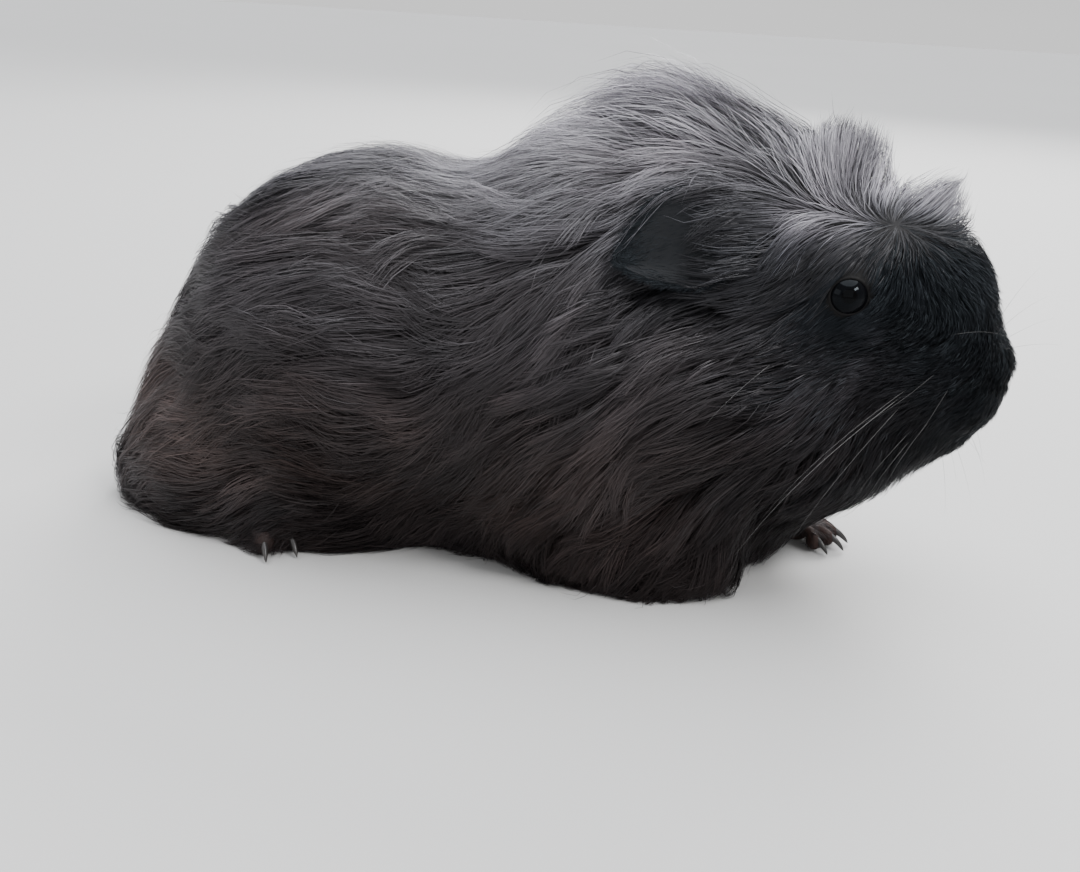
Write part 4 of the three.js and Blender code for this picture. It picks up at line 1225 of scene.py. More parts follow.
print("coat")
mesh.calc_loop_triangles()
tri = np.zeros(len(mesh.loop_triangles) * 3, int)
mesh.loop_triangles.foreach_get("vertices", tri)
tri = tri.reshape(-1, 3)
sv = np.zeros(len(mesh.vertices) * 3)
mesh.vertices.foreach_get("co", sv)
sv = sv.reshape(-1, 3)
A, Bv, C = sv[tri[:, 0]], sv[tri[:, 1]], sv[tri[:, 2]]
cross = np.cross(Bv - A, C - A)
area = np.linalg.norm(cross, axis=1) / 2
face_n = cross / np.maximum(2 * area, 1e-12)[:, None]
mid = (A + Bv + C) / 3
zone = zones_at(mid)
hair_long = zone[:, 1]
density = 2.0 + 9.0 * np.exp(-((hair_long / 6.5) ** 2))
density[(face_n[:, 2] < -0.45) & (mid[:, 2] < 7)] *= 0.12
density[mid[:, 2] < FLOOR_GAP + 0.35] = 0
hmid = to_head(mid)
for side in (-1, 1):
    a, u, w, ring = eye_ring(mid, side)
    density[(ring < 4.25) & (a > -2)] = 0
# the nose's bare pad, and the toes' undersides
bare_nose = (np.linalg.norm((hmid - [116.2, 0, 59.4]) / [1.0, 1.5, 1.0], axis=1) < 2.2) | (
    np.abs(hmid[:, 1]) < 9
) & (hmid[:, 0] > 112) & (groove(hmid, [115.9, 2.9, 58.4], [114.1, 5.4, 59.8], 0.85, 1) + groove(hmid, [115.9, -2.9, 58.4], [114.1, -5.4, 59.8], 0.85, 1) > 0.4)
density[bare_nose] = 0
foot_d = feet(mid)
is_foot = (foot_d < 1.2) & (mid[:, 2] < 20)
density[is_foot] = np.maximum(density[is_foot], np.where(mid[is_foot, 2] > 6, 9.0, 4.5))
density[is_foot & ((face_n[:, 2] < -0.2) | (mid[:, 2] < 1.2))] = 0

# Segments of a hair by its length, and the triangles they make.
CLASSES = ((0.0, 2, 3), (5.0, 3, 5), (11.0, 4, 7), (20.0, 5, 9))
BUDGET = 1_440_000


def hair_class(size):
    return np.digitize(size, [c[0] for c in CLASSES[1:]])


weight = area * density
each = np.array([c[2] for c in CLASSES])
tris_now = (weight * each[hair_class(hair_long * 0.95)]).sum()
print("area", area.sum(), "strands at full density", weight.sum(), "triangles", tris_now)
count = int(weight.sum() * BUDGET / tris_now)
pick = rng.choice(len(tri), count, p=weight / weight.sum())
r1, r2 = np.sqrt(rng.random(count)), rng.random(count)
root = A[pick] * (1 - r1)[:, None] + Bv[pick] * (r1 * (1 - r2))[:, None] + C[pick] * (r1 * r2)[:, None]
root_n = face_n[pick]
value = zones_at(root)
length, tone, brown, width, loose = value[:, 1].copy(), value[:, 2].copy(), value[:, 3].copy(), value[:, 4].copy(), value[:, 5].copy()
on_foot = is_foot[pick]
length[on_foot] = np.clip(2.6 + 0.25 * (root[on_foot, 2] - 4), 2.6, 5.5)
width[on_foot] = 0.16
tone[on_foot] = 1.0
length *= rng.uniform(0.72, 1.18, count)
# Some strands in the painted sheen carry a painted highlight: longer, higher in the coat, and kept light along their
# length.
sheen_strands = (rng.random(count) < 0.24) & (value[:, 2] > 5)
length[sheen_strands] *= 1.4

# Locks and the smaller locks within them.
where_lock = [None, None]
for level, share in ((0, 190), (1, 13)):
    n = max(count // share, 50)
    centre = rng.choice(count, n, replace=False)
    tree = KDTree(n)
    for i, q in enumerate(root[centre].tolist()):
        tree.insert(q, i)
    tree.balance()
    find = tree.find
    mine = np.array([find(q)[1] for q in root.tolist()])
    where_lock[level] = (centre, mine)
(big, in_big), (small, in_small) = where_lock
in_big = in_big[small][in_small]  # small locks stay whole


def each_lock(spread, locks, group):
    return rng.normal(0, 1, len(locks)).clip(-1.8, 1.8)[group] * spread


STEPS = 10
t = np.linspace(0, 1, STEPS + 1)
soft = np.clip((length - 3) / 20, 0.1, 1.0)
length *= np.exp(each_lock(0.09, big, in_big) + each_lock(0.05, small, in_small))
fly = (rng.random(count) < 0.006 + (0.012 + 0.026 * np.clip((root[:, 2] - 70) / 25, 0, 1)) * loose) & (length > 4)
hem = np.clip((13 - root[:, 2]) / 9, 0, 1) * ~on_foot
length *= 1 + hem * rng.uniform(-0.25, 0.25, count)
length[fly] *= np.clip(17 / length[fly], 0.45, 1)
# hair that stands is grown long and cut at the outside of the coat
stand = sample(root)[:, 11]
standing = (stand > 0.14) & (length > 9)
grown = length * np.where(standing, 1.0 + np.clip(stand * 1.6, 0, 0.8), 1.0)
first = sample(root)
lie = unit(first[:, 8:11])
n0 = unit(first[:, 5:8])
beside = unit(np.cross(n0, lie))
lateral = []
for locks, group in ((big, in_big), (small, in_small)):
    off = ((root - root[locks][group]) * beside).sum(1)
    number = np.bincount(group, minlength=len(locks)).clip(1)
    middle = np.bincount(group, off, len(locks)) / number
    off = off - middle[group]
    spread = np.sqrt(np.bincount(group, off**2, len(locks)) / number).clip(0.2)
    lateral.append(np.clip(off / (1.75 * spread[group]), -1.1, 1.1))
x_big, x_small = lateral
twist = (each_lock(0.17, big, in_big) + each_lock(0.10, small, in_small)) * np.clip(soft * 1.6, 0.3, 1)
twist += rng.normal(0, 0.045 + 0.05 * (1 - soft), count)
twist[fly] += rng.normal(0, 0.30, fly.sum())
layer = 0.45 + 0.55 * rng.random(count) ** 0.55
layer += each_lock(0.09, big, in_big) + each_lock(0.06, small, in_small)
layer -= (0.15 * x_big**2 + 0.06 * x_small**2) * soft
layer += np.where(rng.random(count) < 0.2, 0.10 * loose * rng.random(count), 0)
short = np.clip((8.5 - length) / 4.5, 0, 1) * ~on_foot
layer += short * rng.random(count) ** 1.6 * 1.35 + hem * rng.random(count) ** 2 * 0.4
layer[sheen_strands] += 0.10
layer[fly] += rng.uniform(0.1, 0.4, fly.sum()) * (0.4 + loose[fly])
gain = 0.09 + 0.20 * soft
gain[fly] += 0.2
path, normal = grow(root, grown, layer, twist, gain, STEPS)

# Hairs draw together towards the tip of their lock, and the locks wave.
draw = (t**1.4)[None, :, None]
for locks, group, low_hold, more, reach in ((small, in_small, 0.26, 0.22, 11), (big, in_big, 0.09, 0.17, 20)):
    centre_path = path[locks][group]
    hold = (low_hold + more * rng.random(len(locks)))[group] * np.clip(soft * 1.7 - 0.1, 0.1, 1)
    hold[fly] *= 0.15
    hold[standing] *= 0.45
    hold[np.linalg.norm(centre_path[:, -1] - path[:, -1], axis=1) > reach] = 0
    path = path + (centre_path - path) * draw * hold[:, None, None]

ahead = unit(np.gradient(path, axis=1))
sideways = unit(np.cross(normal, ahead))
far = t[None, :] * grown[:, None]
bend = np.zeros((count, STEPS + 1))
rise = np.zeros((count, STEPS + 1))
for group, n, reach, size in ((in_big, len(big), (44, 90), 0.092), (in_small, len(small), (28, 55), 0.034)):
    k = 2 * np.pi / rng.uniform(*reach, n)
    f = rng.uniform(0, 6.28, n)
    s_ = rng.normal(0, 1, n).clip(-1.5, 1.5) * size
    bend += (np.sin(far * k[group][:, None] + f[group][:, None]) - np.sin(f)[group][:, None]) * s_[group][:, None] * far
    rise += np.cos(far * k[group][:, None] * 1.1 + f[group][:, None] * 2) * s_[group][:, None] * far * 0.22
own = rng.normal(0, 0.008, count) * (1 + 1.6 * loose)
own[fly] *= 2.5
bend += np.sin(far * (2 * np.pi / rng.uniform(17, 44, count))[:, None] + rng.uniform(0, 6.28, count)[:, None]) * own[:, None] * far
path = path + sideways * bend[..., None] + normal * rise[..., None]
path[..., 2] = np.maximum(path[..., 2], FLOOR_GAP)

# Standing hair ends where the coat does, give or take a wisp.
who = np.flatnonzero(standing)
over = coat(path[who]) - (rng.normal(-0.6, 1.3, len(who)) + np.where(fly[who], 2.5, 0))[:, None]
out = over > 0
out[:, :3] = False
hit = np.where(out.any(1), out.argmax(1), STEPS)
a_, b_ = over[np.arange(len(who)), hit - 1], over[np.arange(len(who)), hit]
end = hit - 1 + np.where(out.any(1), np.clip(-a_ / np.maximum(b_ - a_, 1e-6), 0, 1), 1.0)
at_ = t[None, :] * end[:, None]
lo = np.minimum(at_.astype(int), STEPS - 1)
fr = (at_ - lo)[..., None]
rows = np.arange(len(who))[:, None]
path[who] = path[who][rows, lo] * (1 - fr) + path[who][rows, lo + 1] * fr

# Nothing hangs over the eyes, and the ears stay clear but for a few strands across them.
keep = np.ones(count, bool)
flat = path[:, 1:].reshape(-1, 3)
for side in (-1, 1):
    a, u, w, ring = eye_ring(flat, side)
    over = ((ring < 4.15) & (a > 0)).reshape(count, STEPS)
    keep &= ~over.any(1)
inside, height = ear_cover(flat)
inside, height = inside.reshape(count, STEPS), height.reshape(count, STEPS)
root_in, root_h = ear_cover(root)
crossing = inside & (height < 2.4)
touch = crossing.any(1)
last_in = np.where(inside, ear_reach(flat).reshape(count, STEPS), 0).max(1)
chance = np.where(last_in < 0.55, 0.96, np.where(last_in < 0.82, 0.80, 0.30))
across_ear = touch & ~root_in & (rng.random(count) < chance)
_, _, n_r, _, _ = ear_frame(-1)
_, _, n_l, _, _ = ear_frame(1)
n_ear = np.where((path[:, :1, 1] < 0)[..., None], dir_from_head(n_r), dir_from_head(n_l))


def eased(push):
    """Spreads a push at some points of a hair to its neighbours."""
    for fall in (0.76, 0.76):
        push[:, 1:] = np.maximum(push[:, 1:], push[:, :-1] * fall)
        push[:, :-1] = np.maximum(push[:, :-1], push[:, 1:] * fall)
    return push


over_by = eased(np.where(crossing, np.clip(1.2 + 0.5 * rng.random(count)[:, None] - height, 0, 7), 0))
path[across_ear, 1:] += n_ear[across_ear] * over_by[across_ear][..., None]
# the rest pass beneath
below = inside.any(1) & ~across_ear
under_by = eased(np.where(inside, np.clip(height + 0.8, 0, 6), 0))
path[below, 1:] -= n_ear[below] * under_by[below][..., None]
cut = below
print("strands", count, "kept", keep.sum(), "cut at ears", cut.sum(), "over ears", across_ear.sum())

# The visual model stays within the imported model's box, a little over it.
box_low = np.array(cad_low) * 1000 - SHIFT
box_high = np.array(cad_high) * 1000 - SHIFT
spare = (box_high - box_low) * 0.03 + 8.0
keep &= ((path > box_low - spare) & (path < box_high + spare)).all((1, 2))

# Where each root lies on the skin: round the spine and along it.
SPINE = np.array([[-74, 0, 36], [-30, 0, 45], [10, 0, 54], [42, 0, 60], [70, -3.4, 61], [95.5, -6.5, 60]], float)


def unwrapped(p):
    best = np.full(len(p), 1e9)
    around, along = np.zeros(len(p)), np.zeros(len(p))
    done = 0.0
    for a, b in zip(SPINE[:-1], SPINE[1:]):
        ab = b - a
        size = np.linalg.norm(ab)
        s_ = (p - a) @ ab / size**2
        s_ = np.clip(s_, -9 if done == 0 else 0, 9 if (b == SPINE[-1]).all() else 1)
        q = p - a - s_[:, None] * ab
        d = np.linalg.norm(q, axis=1)
        m = d < best
        best[m] = d[m]
        around[m] = np.arctan2(q[m, 1], q[m, 2])
        along[m] = done + s_[m] * size
        done += size
    return np.stack([around, along], -1)


place = unwrapped(root)
roll = rng.normal(0, 0.30, count) - (0.58 * x_big + 0.28 * x_small) * np.clip(soft * 1.5, 0.2, 1) + each_lock(0.14, big, in_big)
roll = roll.clip(-1.25, 1.25)
light = np.clip((value[:, 2] - 2) / 12, 0, 1)
# Strands in the painted sheen vary more in tone, and some are darkened as painted shadow between them.
own_tone = rng.normal(0, 1, count) * (0.16 + 0.26 * light) + each_lock(1, small, in_small) * (0.14 + 0.16 * light)
own_tone = np.exp(own_tone + each_lock(0.30, big, in_big) - 0.04 * light) * np.where(rng.random(count) < 0.13 * light, 0.3, 1)
KNOTS = (0, 4, 7, 10)
value_tip = zones_at(path[:, -1])
tones, browns = [value[:, 2]], [value[:, 3]]
for k in KNOTS[1:]:
    v = value_tip if k == 10 else zones_at(path[:, k])
    tones.append(v[:, 2] ** 0.82 * value[:, 2] ** 0.18)
    browns.append(v[:, 3] * 0.82 + value[:, 3] * 0.18)
tones, browns = np.stack(tones, 1), np.stack(browns, 1)
tones[on_foot] = 1.0
browns[on_foot] = 0.4
value_tip[:, 2] = tones[:, 3]
# Painted highlight streaks: some sheen strands keep their root's painted sheen out to a darker tip.
streak = sheen_strands & (value_tip[:, 2] < 8)
for k in (1, 2, 3):
    tones[streak, k] = np.maximum(tones[streak, k], value[streak, 2] * rng.uniform(0.25, 0.75, streak.sum()))
value_tip[:, 2] = tones[:, 3]
width[streak] *= 0.72
tones *= own_tone[:, None]
# Painted backlit glow at the tips, stronger where the painted sheen is.
tip_glow = np.clip((value_tip[:, 2] - 1.6) * 0.07, 0, 0.62) * rng.uniform(0.1, 1.25, count)
width = width * rng.uniform(0.75, 1.2, count)
width[fly] *= 0.55
width *= 1 - 0.2 * light

# Fine short hair on the outside of each ear, and a fringe round its rim.
fuzz = []
for side in (-1, 1):
    k, k_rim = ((4200, 900))
    ft, fw = rng.uniform(0.0, 0.985, k + k_rim), rng.uniform(-0.98, 0.98, k + k_rim)
    rim_ = np.arange(k + k_rim) >= k
    at_tip = rim_ & (rng.random(k + k_rim) < 0.35)
    fw[rim_] = np.where(fw[rim_] < 0, -0.97, 0.97)
    ft[rim_] = rng.uniform(0.25, 0.97, k_rim)
    fw[at_tip] = rng.uniform(-0.95, 0.95, at_tip.sum())
    ft[at_tip] = 0.985
    m_, n_ = ear_surface(side, ft, fw)
    m2, _ = ear_surface(side, np.clip(ft + 0.012, 0, 0.9995), fw)
    along_ = unit(m2 - m_)
    across_ = ear_frame(side)[3]
    lean = rng.normal(0, 0.22, k + k_rim) + np.where(rim_, 0.40, 0.22) * fw
    d_ = unit(along_ * np.where(m2[:, :1] == m_[:, :1], 0, 1) + across_ * lean[:, None] + 1e-6)
    size_ = rng.uniform(2.4, 4.8, k + k_rim) * (1.15 - 0.3 * ft) * np.where(rim_, 0.7, 1)
    rise_ = 0.22 + (rng.uniform(0.02, 0.15, k + k_rim) * size_)[:, None] * t[None, :] ** 1.3
    p_ = m_[:, None] + d_[:, None] * (t[None, :] * size_[:, None])[..., None] + n_ * rise_[..., None]
    fuzz.append((from_head(p_), np.broadcast_to(dir_from_head(n_), (k + k_rim, 3)), size_))
n_fuzz = sum(len(f[2]) for f in fuzz)
path = np.concatenate([path] + [f[0] for f in fuzz])
normal = np.concatenate([normal] + [np.repeat(f[1][:, None], STEPS + 1, 1) for f in fuzz])
length = np.concatenate([length] + [f[2] for f in fuzz])
root = path[:, 0]
place = np.concatenate([place, unwrapped(root[count:])])
roll = np.concatenate([roll, rng.normal(0, 0.35, n_fuzz)])
fuzz_tone = 0.33 * np.exp(rng.normal(0, 0.32, n_fuzz))
tones = np.concatenate([tones, fuzz_tone[:, None] * [1, 1.08, 1.14, 1.2]])
# Ear fuzz takes the painted cool cast of skylight.
browns = np.concatenate([browns, np.full((n_fuzz, 4), -0.35)])
tip_glow = np.concatenate([tip_glow, np.zeros(n_fuzz)])
width = np.concatenate([width, rng.uniform(0.10, 0.16, n_fuzz)])
keep = np.concatenate([keep, np.ones(n_fuzz, bool)])
on_foot = np.concatenate([on_foot, np.zeros(n_fuzz, bool)])
on_ear = np.arange(len(length)) >= count
count = len(length)


def ribbons(ids, stations, name):
    """One joined mesh of flat tapered hairs."""
    p, n = path[ids][:, stations], normal[ids][:, stations]
    k, m = len(ids), len(stations)
    d = unit(np.gradient(p, axis=1))
    side = unit(np.cross(n, d))
    up = np.cross(d, side)
    turn = roll[ids][:, None, None]
    side = side * np.cos(turn) + up * np.sin(turn)
    tt = t[stations]
    profile = (0.62 + 0.38 * np.minimum(tt * 5, 1)) * (1 - 0.55 * tt**2.5)
    half = side * (width[ids][:, None] * profile * 0.5)[..., None]
    left, right = p[:, :-1] - half[:, :-1], p[:, :-1] + half[:, :-1]
    body = np.stack([left, right], 2).reshape(k, 2 * (m - 1), 3)
    verts = np.concatenate([body, p[:, -1:]], 1)
    per = 2 * m - 1
    low = verts[..., 2] < FLOOR_GAP
    verts[..., 2][low] = FLOOR_GAP
    faces = []
    for i in range(m - 2):
        a = 2 * i
        faces += [[a, a + 1, a + 3], [a, a + 3, a + 2]]
    faces.append([2 * (m - 2), 2 * (m - 2) + 1, 2 * (m - 1)])
    faces = np.array(faces)
    along = np.concatenate([np.repeat(tt[:-1], 2), tt[-1:]])
    across = np.concatenate([np.tile([0.0, 1.0], m - 1), [0.5]])
    return verts, faces, along, across, per


def coat_piece(name, ids):
    parts = []
    kind = hair_class(length[ids])
    for s_, stations in enumerate(([0, 5, 10], [0, 4, 7, 10], [0, 3, 6, 8, 10], [0, 2, 4, 6, 8, 10])):
        sub = ids[kind == s_]
        if len(sub):
            parts.append((sub, *ribbons(sub, stations, name)))
    V, F, UV, COL = [], [], [], []
    at = place[ids]
    low, span = at.min(0), np.ptp(at, axis=0)
    done = 0
    for sub, verts, faces, along, across, per in parts:
        k = len(sub)
        V.append(verts.reshape(-1, 3))
        F.append((faces[None] + (np.arange(k) * per)[:, None, None] + done).reshape(-1, 3))
        spot = 0.004 + (place[sub] - low) / span * 0.988
        uv = np.stack([spot[:, :1] + 0.003 * across[None], spot[:, 1:] + 0.003 * along[None]], -1)
        UV.append(uv.reshape(-1, 2))
        col = np.zeros((k, per, 4), np.float32)
        between = np.array([np.interp(along, np.array(KNOTS) / 10, one) for one in np.eye(4)])
        col[..., 0] = np.exp(np.log(tones[sub]) @ between)
        col[..., 1] = along[None]
        col[..., 2] = browns[sub] @ between
        col[..., 3] = tip_glow[sub][:, None]
        COL.append(col.reshape(-1, 4))
        done += k * per
    V, F, UV, COL = map(np.concatenate, (V, F, UV, COL))
    me = bpy.data.meshes.new(name)
    me.vertices.add(len(V))
    me.vertices.foreach_set("co", metres(V).astype(np.float32).ravel())
    me.loops.add(len(F) * 3)
    me.loops.foreach_set("vertex_index", F.astype(np.int32).ravel())
    me.polygons.add(len(F))
    me.polygons.foreach_set("loop_start", np.arange(0, len(F) * 3, 3, dtype=np.int32))
    me.polygons.foreach_set("use_smooth", np.ones(len(F), bool))
    layer_uv = me.uv_layers.new(name="OFBake")
    layer_uv.uv.foreach_set("vector", UV[F.ravel()].astype(np.float32).ravel())
    c = me.attributes.new("coat", "FLOAT_COLOR", "POINT")
    c.data.foreach_set("color", COL.ravel())
    me.update(calc_edges=True)
    me.materials.append(DARK_COAT if name.startswith(("coat_face", "coat_ear")) else LOW_COAT if name.startswith(("coat_low", "coat_feet")) else COAT)
    ob = bpy.data.objects.new(name, me)
    bpy.context.scene.collection.objects.link(ob)
    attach(ob, "root")
    return len(F)


hr = to_head(root)
label = np.full(count, "coat_flank", dtype=object)
xb = root[:, 0]
label[xb > -5] = "coat_shoulder"
label[(xb > -5) & (root[:, 2] > 76)] = "coat_mane"
label[xb < -52] = "coat_rump"
head_hair = (hr[:, 0] > 46) & (root[:, 2] > 22)
label[head_hair] = "coat_cheek"
label[head_hair & (root[:, 2] > 78)] = "coat_crown"
face_edge = hr[:, 0] + 1.1 * np.abs(hr[:, 1]) - 0.35 * np.maximum(hr[:, 2] - 74, 0) + rng.normal(0, 2.6, count)
label[(face_edge > 97.5) & (root[:, 2] > 30) & (hr[:, 0] > 66)] = "coat_face"
low_edge = root[:, 2] + rng.normal(0, 4.5, count) - np.where(root[:, 0] > -28, 34, 13)
label[(low_edge < 0) & (label != "coat_face")] = "coat_low"
label[on_foot] = "coat_feet"
label[on_ear] = "coat_ear"
sides = np.where(root[:, 1] < 0, "_r", "_l")
whole = np.isin(label, ["coat_feet"])
total = 0
for base in sorted(set(label)):
    for sd in ("",) if base == "coat_feet" else ("_r", "_l"):
        ids = np.flatnonzero(keep & (label == base) & ((sides == sd) if sd else True))
        if not len(ids):
            continue
        n_tri = each[hair_class(length[ids])].sum()
        pieces_n = int(n_tri // 190000) + 1
        order = np.argsort(place[ids, 1], kind="stable")
        for j, chunk in enumerate(np.array_split(ids[order], pieces_n)):
            nm = base + sd + (f"_{j + 1}" if pieces_n > 1 else "")
            made = coat_piece(nm, chunk)
            total += made
            print(nm, made)
print("coat triangles", total)

# ------------------------------------------------------------------ skin object

co = sv
h = to_head(co)
me_tone = np.zeros((len(co), 4), np.float32)
me_tone[:, 3] = 1
nose_d = np.linalg.norm((h - [114, 0, 60.0]) / [1.0, 1.5, 1.0], axis=1)
me_tone[:, 0] = np.clip((7.5 - nose_d) / 2.5, 0, 1)
# Painted shade: the skin darkens to near black inside the nostrils and the groove down the lip.
for y in (-1, 1):
    into = groove(h, [115.9, 2.9 * y, 58.4], [114.1, 5.4 * y, 59.8], 0.9, 1) + groove(h, [114.1, 5.4 * y, 59.8], [111.4, 7.6 * y, 62.6], 0.7, 0.6)
    me_tone[:, 3] *= 1 - 0.85 * np.clip(into * (h[:, 0] > 108), 0, 1)
me_tone[:, 3] *= 1 - 0.6 * groove(h, [117.0, 0, 57.6], [113.0, 0, 48.0], 0.6, 1) * (h[:, 0] > 108)
foot_v = feet(co)
foot_near = np.clip((1.5 - foot_v) / 1.5, 0, 1) * np.clip((10.5 - co[:, 2]) / 3, 0, 1)
me_tone[:, 0] = np.maximum(me_tone[:, 0], foot_near)
me_tone[:, 1] = foot_near * np.where(co[:, 0] > 60, 0.32, 0.16) + np.clip((5.2 - nose_d) / 3, 0, 1) * 0.025
me_tone[:, 2] = np.clip((6.0 - nose_d) / 3.0, 0, 1) * 0.35
for side in (-1, 1):
    a, u, w, ring = eye_ring(co, side)
    lid = np.clip((7.2 - ring) / 2.4, 0, 1) * (a > -1)
    me_tone[:, 3] *= 1 - 0.8 * np.clip((6.8 - ring) / 2.0, 0, 1) * (a > -1)
    me_tone[:, 0] = np.maximum(me_tone[:, 0], lid)
    me_tone[:, 2] = np.maximum(me_tone[:, 2], lid * 0.05)
c = mesh.attributes.new("skin_tone", "FLOAT_COLOR", "POINT")
c.data.foreach_set("color", me_tone.ravel())
mesh.vertices.foreach_set("co", metres(co).astype(np.float32).ravel())
mesh.shade_smooth()
mesh.materials.append(SKIN_M)
mesh.update()
skin_ob = bpy.data.objects.new("skin", mesh)
bpy.context.scene.collection.objects.link(skin_ob)
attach(skin_ob, "root")
flesh = [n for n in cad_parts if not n.startswith(("eye_", "ear_")) and "claw" not in n]
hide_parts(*flesh)

# ------------------------------------------------------------------ ears, eyes, claws

for side, s_ in ((-1, "r"), (1, "l")):
    ear = make_ear(side, "outer_ear_" + s_, EAR_M)
    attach(ear, "root")
    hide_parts("ear_" + s_)

    at, axis, across, up = eye_frame(side)
    nu, nv = 40, 28
    pts, ring = [], []
    for i in range(nv + 1):
        th = math.pi * i / nv
        bulge = 0.30 * math.exp(-((th / 0.55) ** 2))
        for j in range(nu):
            ph = 2 * math.pi * j / nu
            r = EYE_R - 0.05 + bulge
            pts.append(at + r * (math.cos(th) * axis + math.sin(th) * (math.cos(ph) * across + math.sin(ph) * up)))
            ring.append(math.sin(min(th, math.pi / 2)) * EYE_R / 4.0)
    faces = [[i * nu + j, (i + 1) * nu + j, (i + 1) * nu + (j + 1) % nu, i * nu + (j + 1) % nu] for i in range(nv) for j in range(nu)]
    eye = new_object("eyeball_" + s_, from_head(np.array(pts)), faces, [EYE_M])
    b = bmesh.new()
    b.from_mesh(eye.data)
    lay = b.verts.layers.float.new("ring")
    b.verts.ensure_lookup_table()
    for v, q in zip(b.verts, ring):
        v[lay] = q
    bmesh.ops.remove_doubles(b, verts=b.verts[:], dist=1e-6)
    bmesh.ops.recalc_face_normals(b, faces=b.faces[:])
    b.to_mesh(eye.data)
    b.free()
    eye.data.shade_smooth()
    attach(eye, "root")
    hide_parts("eye_" + s_)


def claw(name, base, tip, r, node):
    """A curved, tapering claw, flatter at its sides, with its sole cut flat near the floor."""
    base, tip = np.asarray(base, float), np.asarray(tip, float)
    out = unit((tip - base) * [1, 1, 0])
    start = base - out * 0.6 + [0, 0, 0.4]
    top = (base + tip) / 2 + np.array([0, 0, 1.3])
    end = tip + [0, 0, -0.15]
    n, m = 12, 14
    pts, al = [], []
    for i in range(n + 1):
        s_ = i / n
        c = start * (1 - s_) ** 2 + 2 * top * s_ * (1 - s_) + end * s_**2
        d = unit(2 * (top - start) * (1 - s_) + 2 * (end - top) * s_)
        sd = unit(np.cross([0, 0, 1], d))
        upv = np.cross(d, sd)
        size = r * (1 - s_**1.6) ** 0.62 + 0.09
        for j in range(m):
            a = 2 * math.pi * j / m
            drop = 0.75 if math.sin(a) < 0 else 1.12
            q = c + sd * math.cos(a) * size * 0.78 + upv * math.sin(a) * size * drop
            q[2] = max(q[2], 0.38)
            pts.append(q)
            al.append(s_)
    faces = [[i * m + j, i * m + (j + 1) % m, (i + 1) * m + (j + 1) % m, (i + 1) * m + j] for i in range(n) for j in range(m)]
    faces.append(list(range(m))[::-1])
    faces.append([n * m + j for j in range(m)])
    ob = new_object(name, np.array(pts), faces, [CLAW_M])
    at_ = ob.data.attributes.new("along", "FLOAT", "POINT")
    at_.data.foreach_set("value", np.array(al, np.float32))
    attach(ob, "root")
    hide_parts(node)


for s_ in "rl":
    for i, (toe, tip) in enumerate(zip(HIND["toes"], HIND["claws"])):
        claw(f"hind_nail_{s_}{i + 1}", hind_point(s_, toe), hind_point(s_, tip), 1.25, f"hind_foot_claw_{s_}{i + 1}")
    for i, (toe, tip) in enumerate(zip(PAW["toes"], PAW["claws"])):
        claw(f"fore_nail_{s_}{i + 1}", paw_point(s_, toe), paw_point(s_, tip), 0.95, f"fore_paw_claw_{s_}{i + 1}")

# ------------------------------------------------------------------ whiskers

# Root and tip in body frame, how far the middle sags, thickness, paleness
WHISKERS = [
    ((92.8, -21, 55.7), (61.5, -50, 23.2), 3.0, 0.20, 0.95), ((92.7, -20.3, 53.2), (70.5, -44.5, 20.7), 2.0, 0.16, 0.7),
    ((93.5, -20.5, 57.5), (66, -51, 33), 2.5, 0.15, 0.5), ((96.7, -18.2, 44.4), (86.6, -30, 29.6), 1.2, 0.15, 0.85),
    ((96.0, -18.4, 46.6), (84, -33, 31), 1.4, 0.13, 0.6), ((99, -17.5, 50), (90, -38, 38), 1.6, 0.14, 0.5),
    ((98, -19, 61), (82, -50, 56), -1.5, 0.14, 0.35), ((101, -18, 58), (93, -47, 52), -1.0, 0.13, 0.3),
    ((109.4, -13, 68.5), (117.2, -22, 80.5), 1.0, 0.12, 0.25), ((111.5, -12.4, 65.3), (121.5, -24, 71), 0.8, 0.12, 0.2),
    ((99.3, -19.2, 69.0), (111.0, -27, 72.0), 1.4, 0.12, 0.8), ((108, -14, 46.5), (113.5, -17, 34.8), 0.8, 0.11, 0.25),
    ((103.5, -13.5, 40.1), (106, -18, 27.0), 0.8, 0.11, 0.25), ((106.5, -13.5, 42.1), (111, -20, 31), 0.6, 0.10, 0.2),
    ((80, -24.5, 84), (74, -40, 98), -1.2, 0.11, 0.3), ((82, -25, 82.5), (82, -42, 95), -1.2, 0.10, 0.2),
    ((63, -35.5, 62), (52, -52, 52), 1.0, 0.13, 0.8),
]
V, F, COL = [], [], []


def whisker(a, b, sag, thick, light):
    n, m = 12, 5
    a, b = np.asarray(a, float), np.asarray(b, float)
    d = unit(b - a)
    down = unit(np.array([0, 0, -1.0]) - d * -d[2])
    first = sum(len(v) for v in V)
    rows = []
    for i in range(n + 1):
        s_ = i / n
        c = a + (b - a) * s_ + down * sag * (-4 * s_ * (1 - s_)) * (0.6 + 0.4 * s_)
        sd = unit(np.cross(d, down))
        r = thick * 0.30 * (1 - 0.85 * s_)
        rows.append([c + (sd * math.cos(2 * math.pi * j / m) + down * math.sin(2 * math.pi * j / m)) * r for j in range(m)])
    V.append(np.array(rows).reshape(-1, 3))
    for i in range(n):
        for j in range(m):
            F.append([first + i * m + j, first + i * m + (j + 1) % m, first + (i + 1) * m + (j + 1) % m, first + (i + 1) * m + j])
    F.append([first + j for j in range(m)][::-1])
    F.append([first + n * m + j for j in range(m)])
    COL.append(np.tile([light, 0.5, 0, 1], (len(rows) * m, 1)))


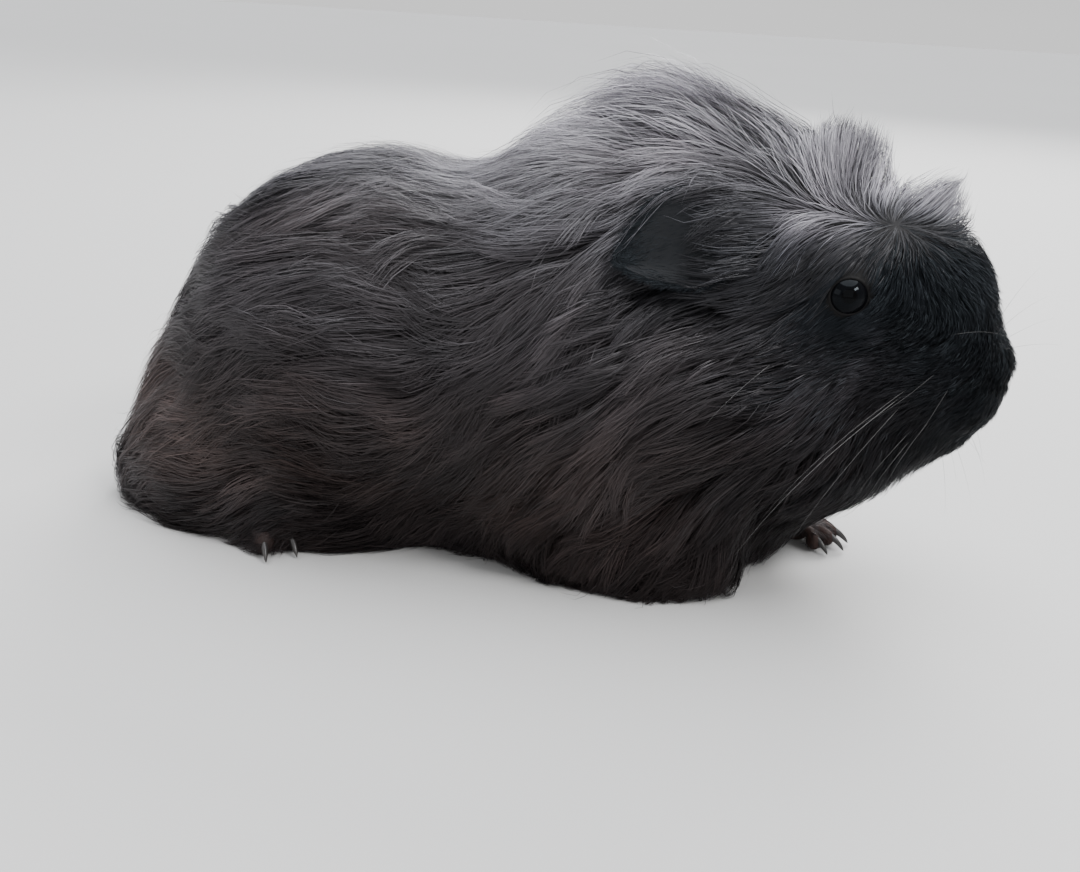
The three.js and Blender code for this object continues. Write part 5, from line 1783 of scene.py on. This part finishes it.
for a, b, sag, thick, light in WHISKERS:
    a, b = np.array(a), np.array(b)
    # the root goes to the skin
    a = settled(skin_plain, a[None], 4)[0]
    whisker(a, b, sag, thick, light)
    m = lambda q: from_head(to_head(np.asarray(q, float)) * [1, -1, 1])
    a2, b2 = m(a), m(b)
    b2 = a2 + (b2 - a2) * rng.uniform(0.85, 1.0) + rng.normal(0, 1.2, 3)
    whisker(settled(skin_plain, a2[None], 4)[0], b2, sag * rng.uniform(0.6, 1.3), thick, light)
V = np.concatenate(V)
V = np.clip(V, box_low - (box_high - box_low) * 0.03 - 9, box_high + (box_high - box_low) * 0.03 + 9)
V[:, 2] = np.maximum(V[:, 2], FLOOR_GAP)
wh = new_object("whiskers", V, F, [WHISKER_M])
c = wh.data.attributes.new("coat", "FLOAT_COLOR", "POINT")
c.data.foreach_set("color", np.concatenate(COL).astype(np.float32).ravel())
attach(wh, "root")

# ------------------------------------------------------------------ studio

floor_me = bpy.data.meshes.new("floor")
R = 6.0
floor_me.from_pydata([(-R, -R, 0), (R, -R, 0), (R, R, 0), (-R, R, 0)], [], [(0, 1, 2, 3)])
floor_me.materials.append(floor_material())
floor = bpy.data.objects.new("floor", floor_me)
bpy.context.scene.collection.objects.link(floor)

world = bpy.data.worlds.new("studio")
world.use_nodes = True
w_nodes, w_links = world.node_tree.nodes, world.node_tree.links
w_coord, w_split, w_ramp = w_nodes.new("ShaderNodeTexCoord"), w_nodes.new("ShaderNodeSeparateXYZ"), w_nodes.new("ShaderNodeValToRGB")
w_links.new(w_coord.outputs["Generated"], w_split.inputs[0])
w_links.new(w_split.outputs[2], w_ramp.inputs[0])
w_ramp.color_ramp.elements[0].position, w_ramp.color_ramp.elements[0].color = 0.0, (0.96, 0.96, 0.96, 1)
w_ramp.color_ramp.elements[1].position, w_ramp.color_ramp.elements[1].color = 0.34, (0.46, 0.475, 0.50, 1)
w_links.new(w_ramp.outputs[0], w_nodes["Background"].inputs[0])
w_nodes["Background"].inputs[1].default_value = 1.0
bpy.context.scene.world = world


def lamp(name, at, target, size, power, colour=(1, 1, 1)):
    data = bpy.data.lights.new(name, "AREA")
    data.shape = "RECTANGLE"
    data.size, data.size_y = size
    data.energy = power
    data.color = colour
    ob = bpy.data.objects.new(name, data)
    ob.location = at
    ob.rotation_euler = (Vector(target) - Vector(at)).to_track_quat("-Z", "Y").to_euler()
    bpy.context.scene.collection.objects.link(ob)


sky = bpy.data.lights.new("broad_sky", "SUN")
sky.energy, sky.angle, sky.color = 6.5, math.radians(68), (0.95, 0.97, 1.0)
sky_ob = bpy.data.objects.new("broad_sky", sky)
sky_ob.rotation_euler = (Vector((0, 0, 0)) - Vector((-0.05, 0.22, 1.15))).to_track_quat("-Z", "Y").to_euler()
bpy.context.scene.collection.objects.link(sky_ob)
lamp("catch_panel", (0.80, -0.36, 0.92), (0.08, -0.02, 0.07), (0.44, 0.22), 13)
lamp("fill_panel", (0.15, -1.4, 0.8), (0, 0, 0.05), (1.7, 1.2), 7.0)
lamp("side_panel", (-0.9, -0.6, 0.5), (0, 0, 0.05), (0.6, 0.5), 2.4)
lamp("back_panel", (0.1, 1.05, 0.75), (0, 0, 0.06), (0.9, 0.5), 23)

cam = bpy.data.cameras.new("camera")
cam.sensor_width = 36.0
cam.lens = 1150.0 / 1080.0 * 36.0
cam.clip_start = 0.01
cam.clip_end = 50.0
camera = bpy.data.objects.new("camera", cam)
R_b = Vector((0.96370, 0.26154, 0.05374))
D_b = Vector((0.14241, -0.33322, -0.93203))
W_b = Vector((-0.22585, 0.90585, -0.35837))
place_c = metres(np.array([73.358, -277.076, 133.76]))
rows = Matrix((R_b, -D_b, -W_b)).transposed().to_4x4()
rows.translation = Vector(place_c.tolist())
camera.matrix_world = rows
bpy.context.scene.collection.objects.link(camera)
bpy.context.scene.camera = camera
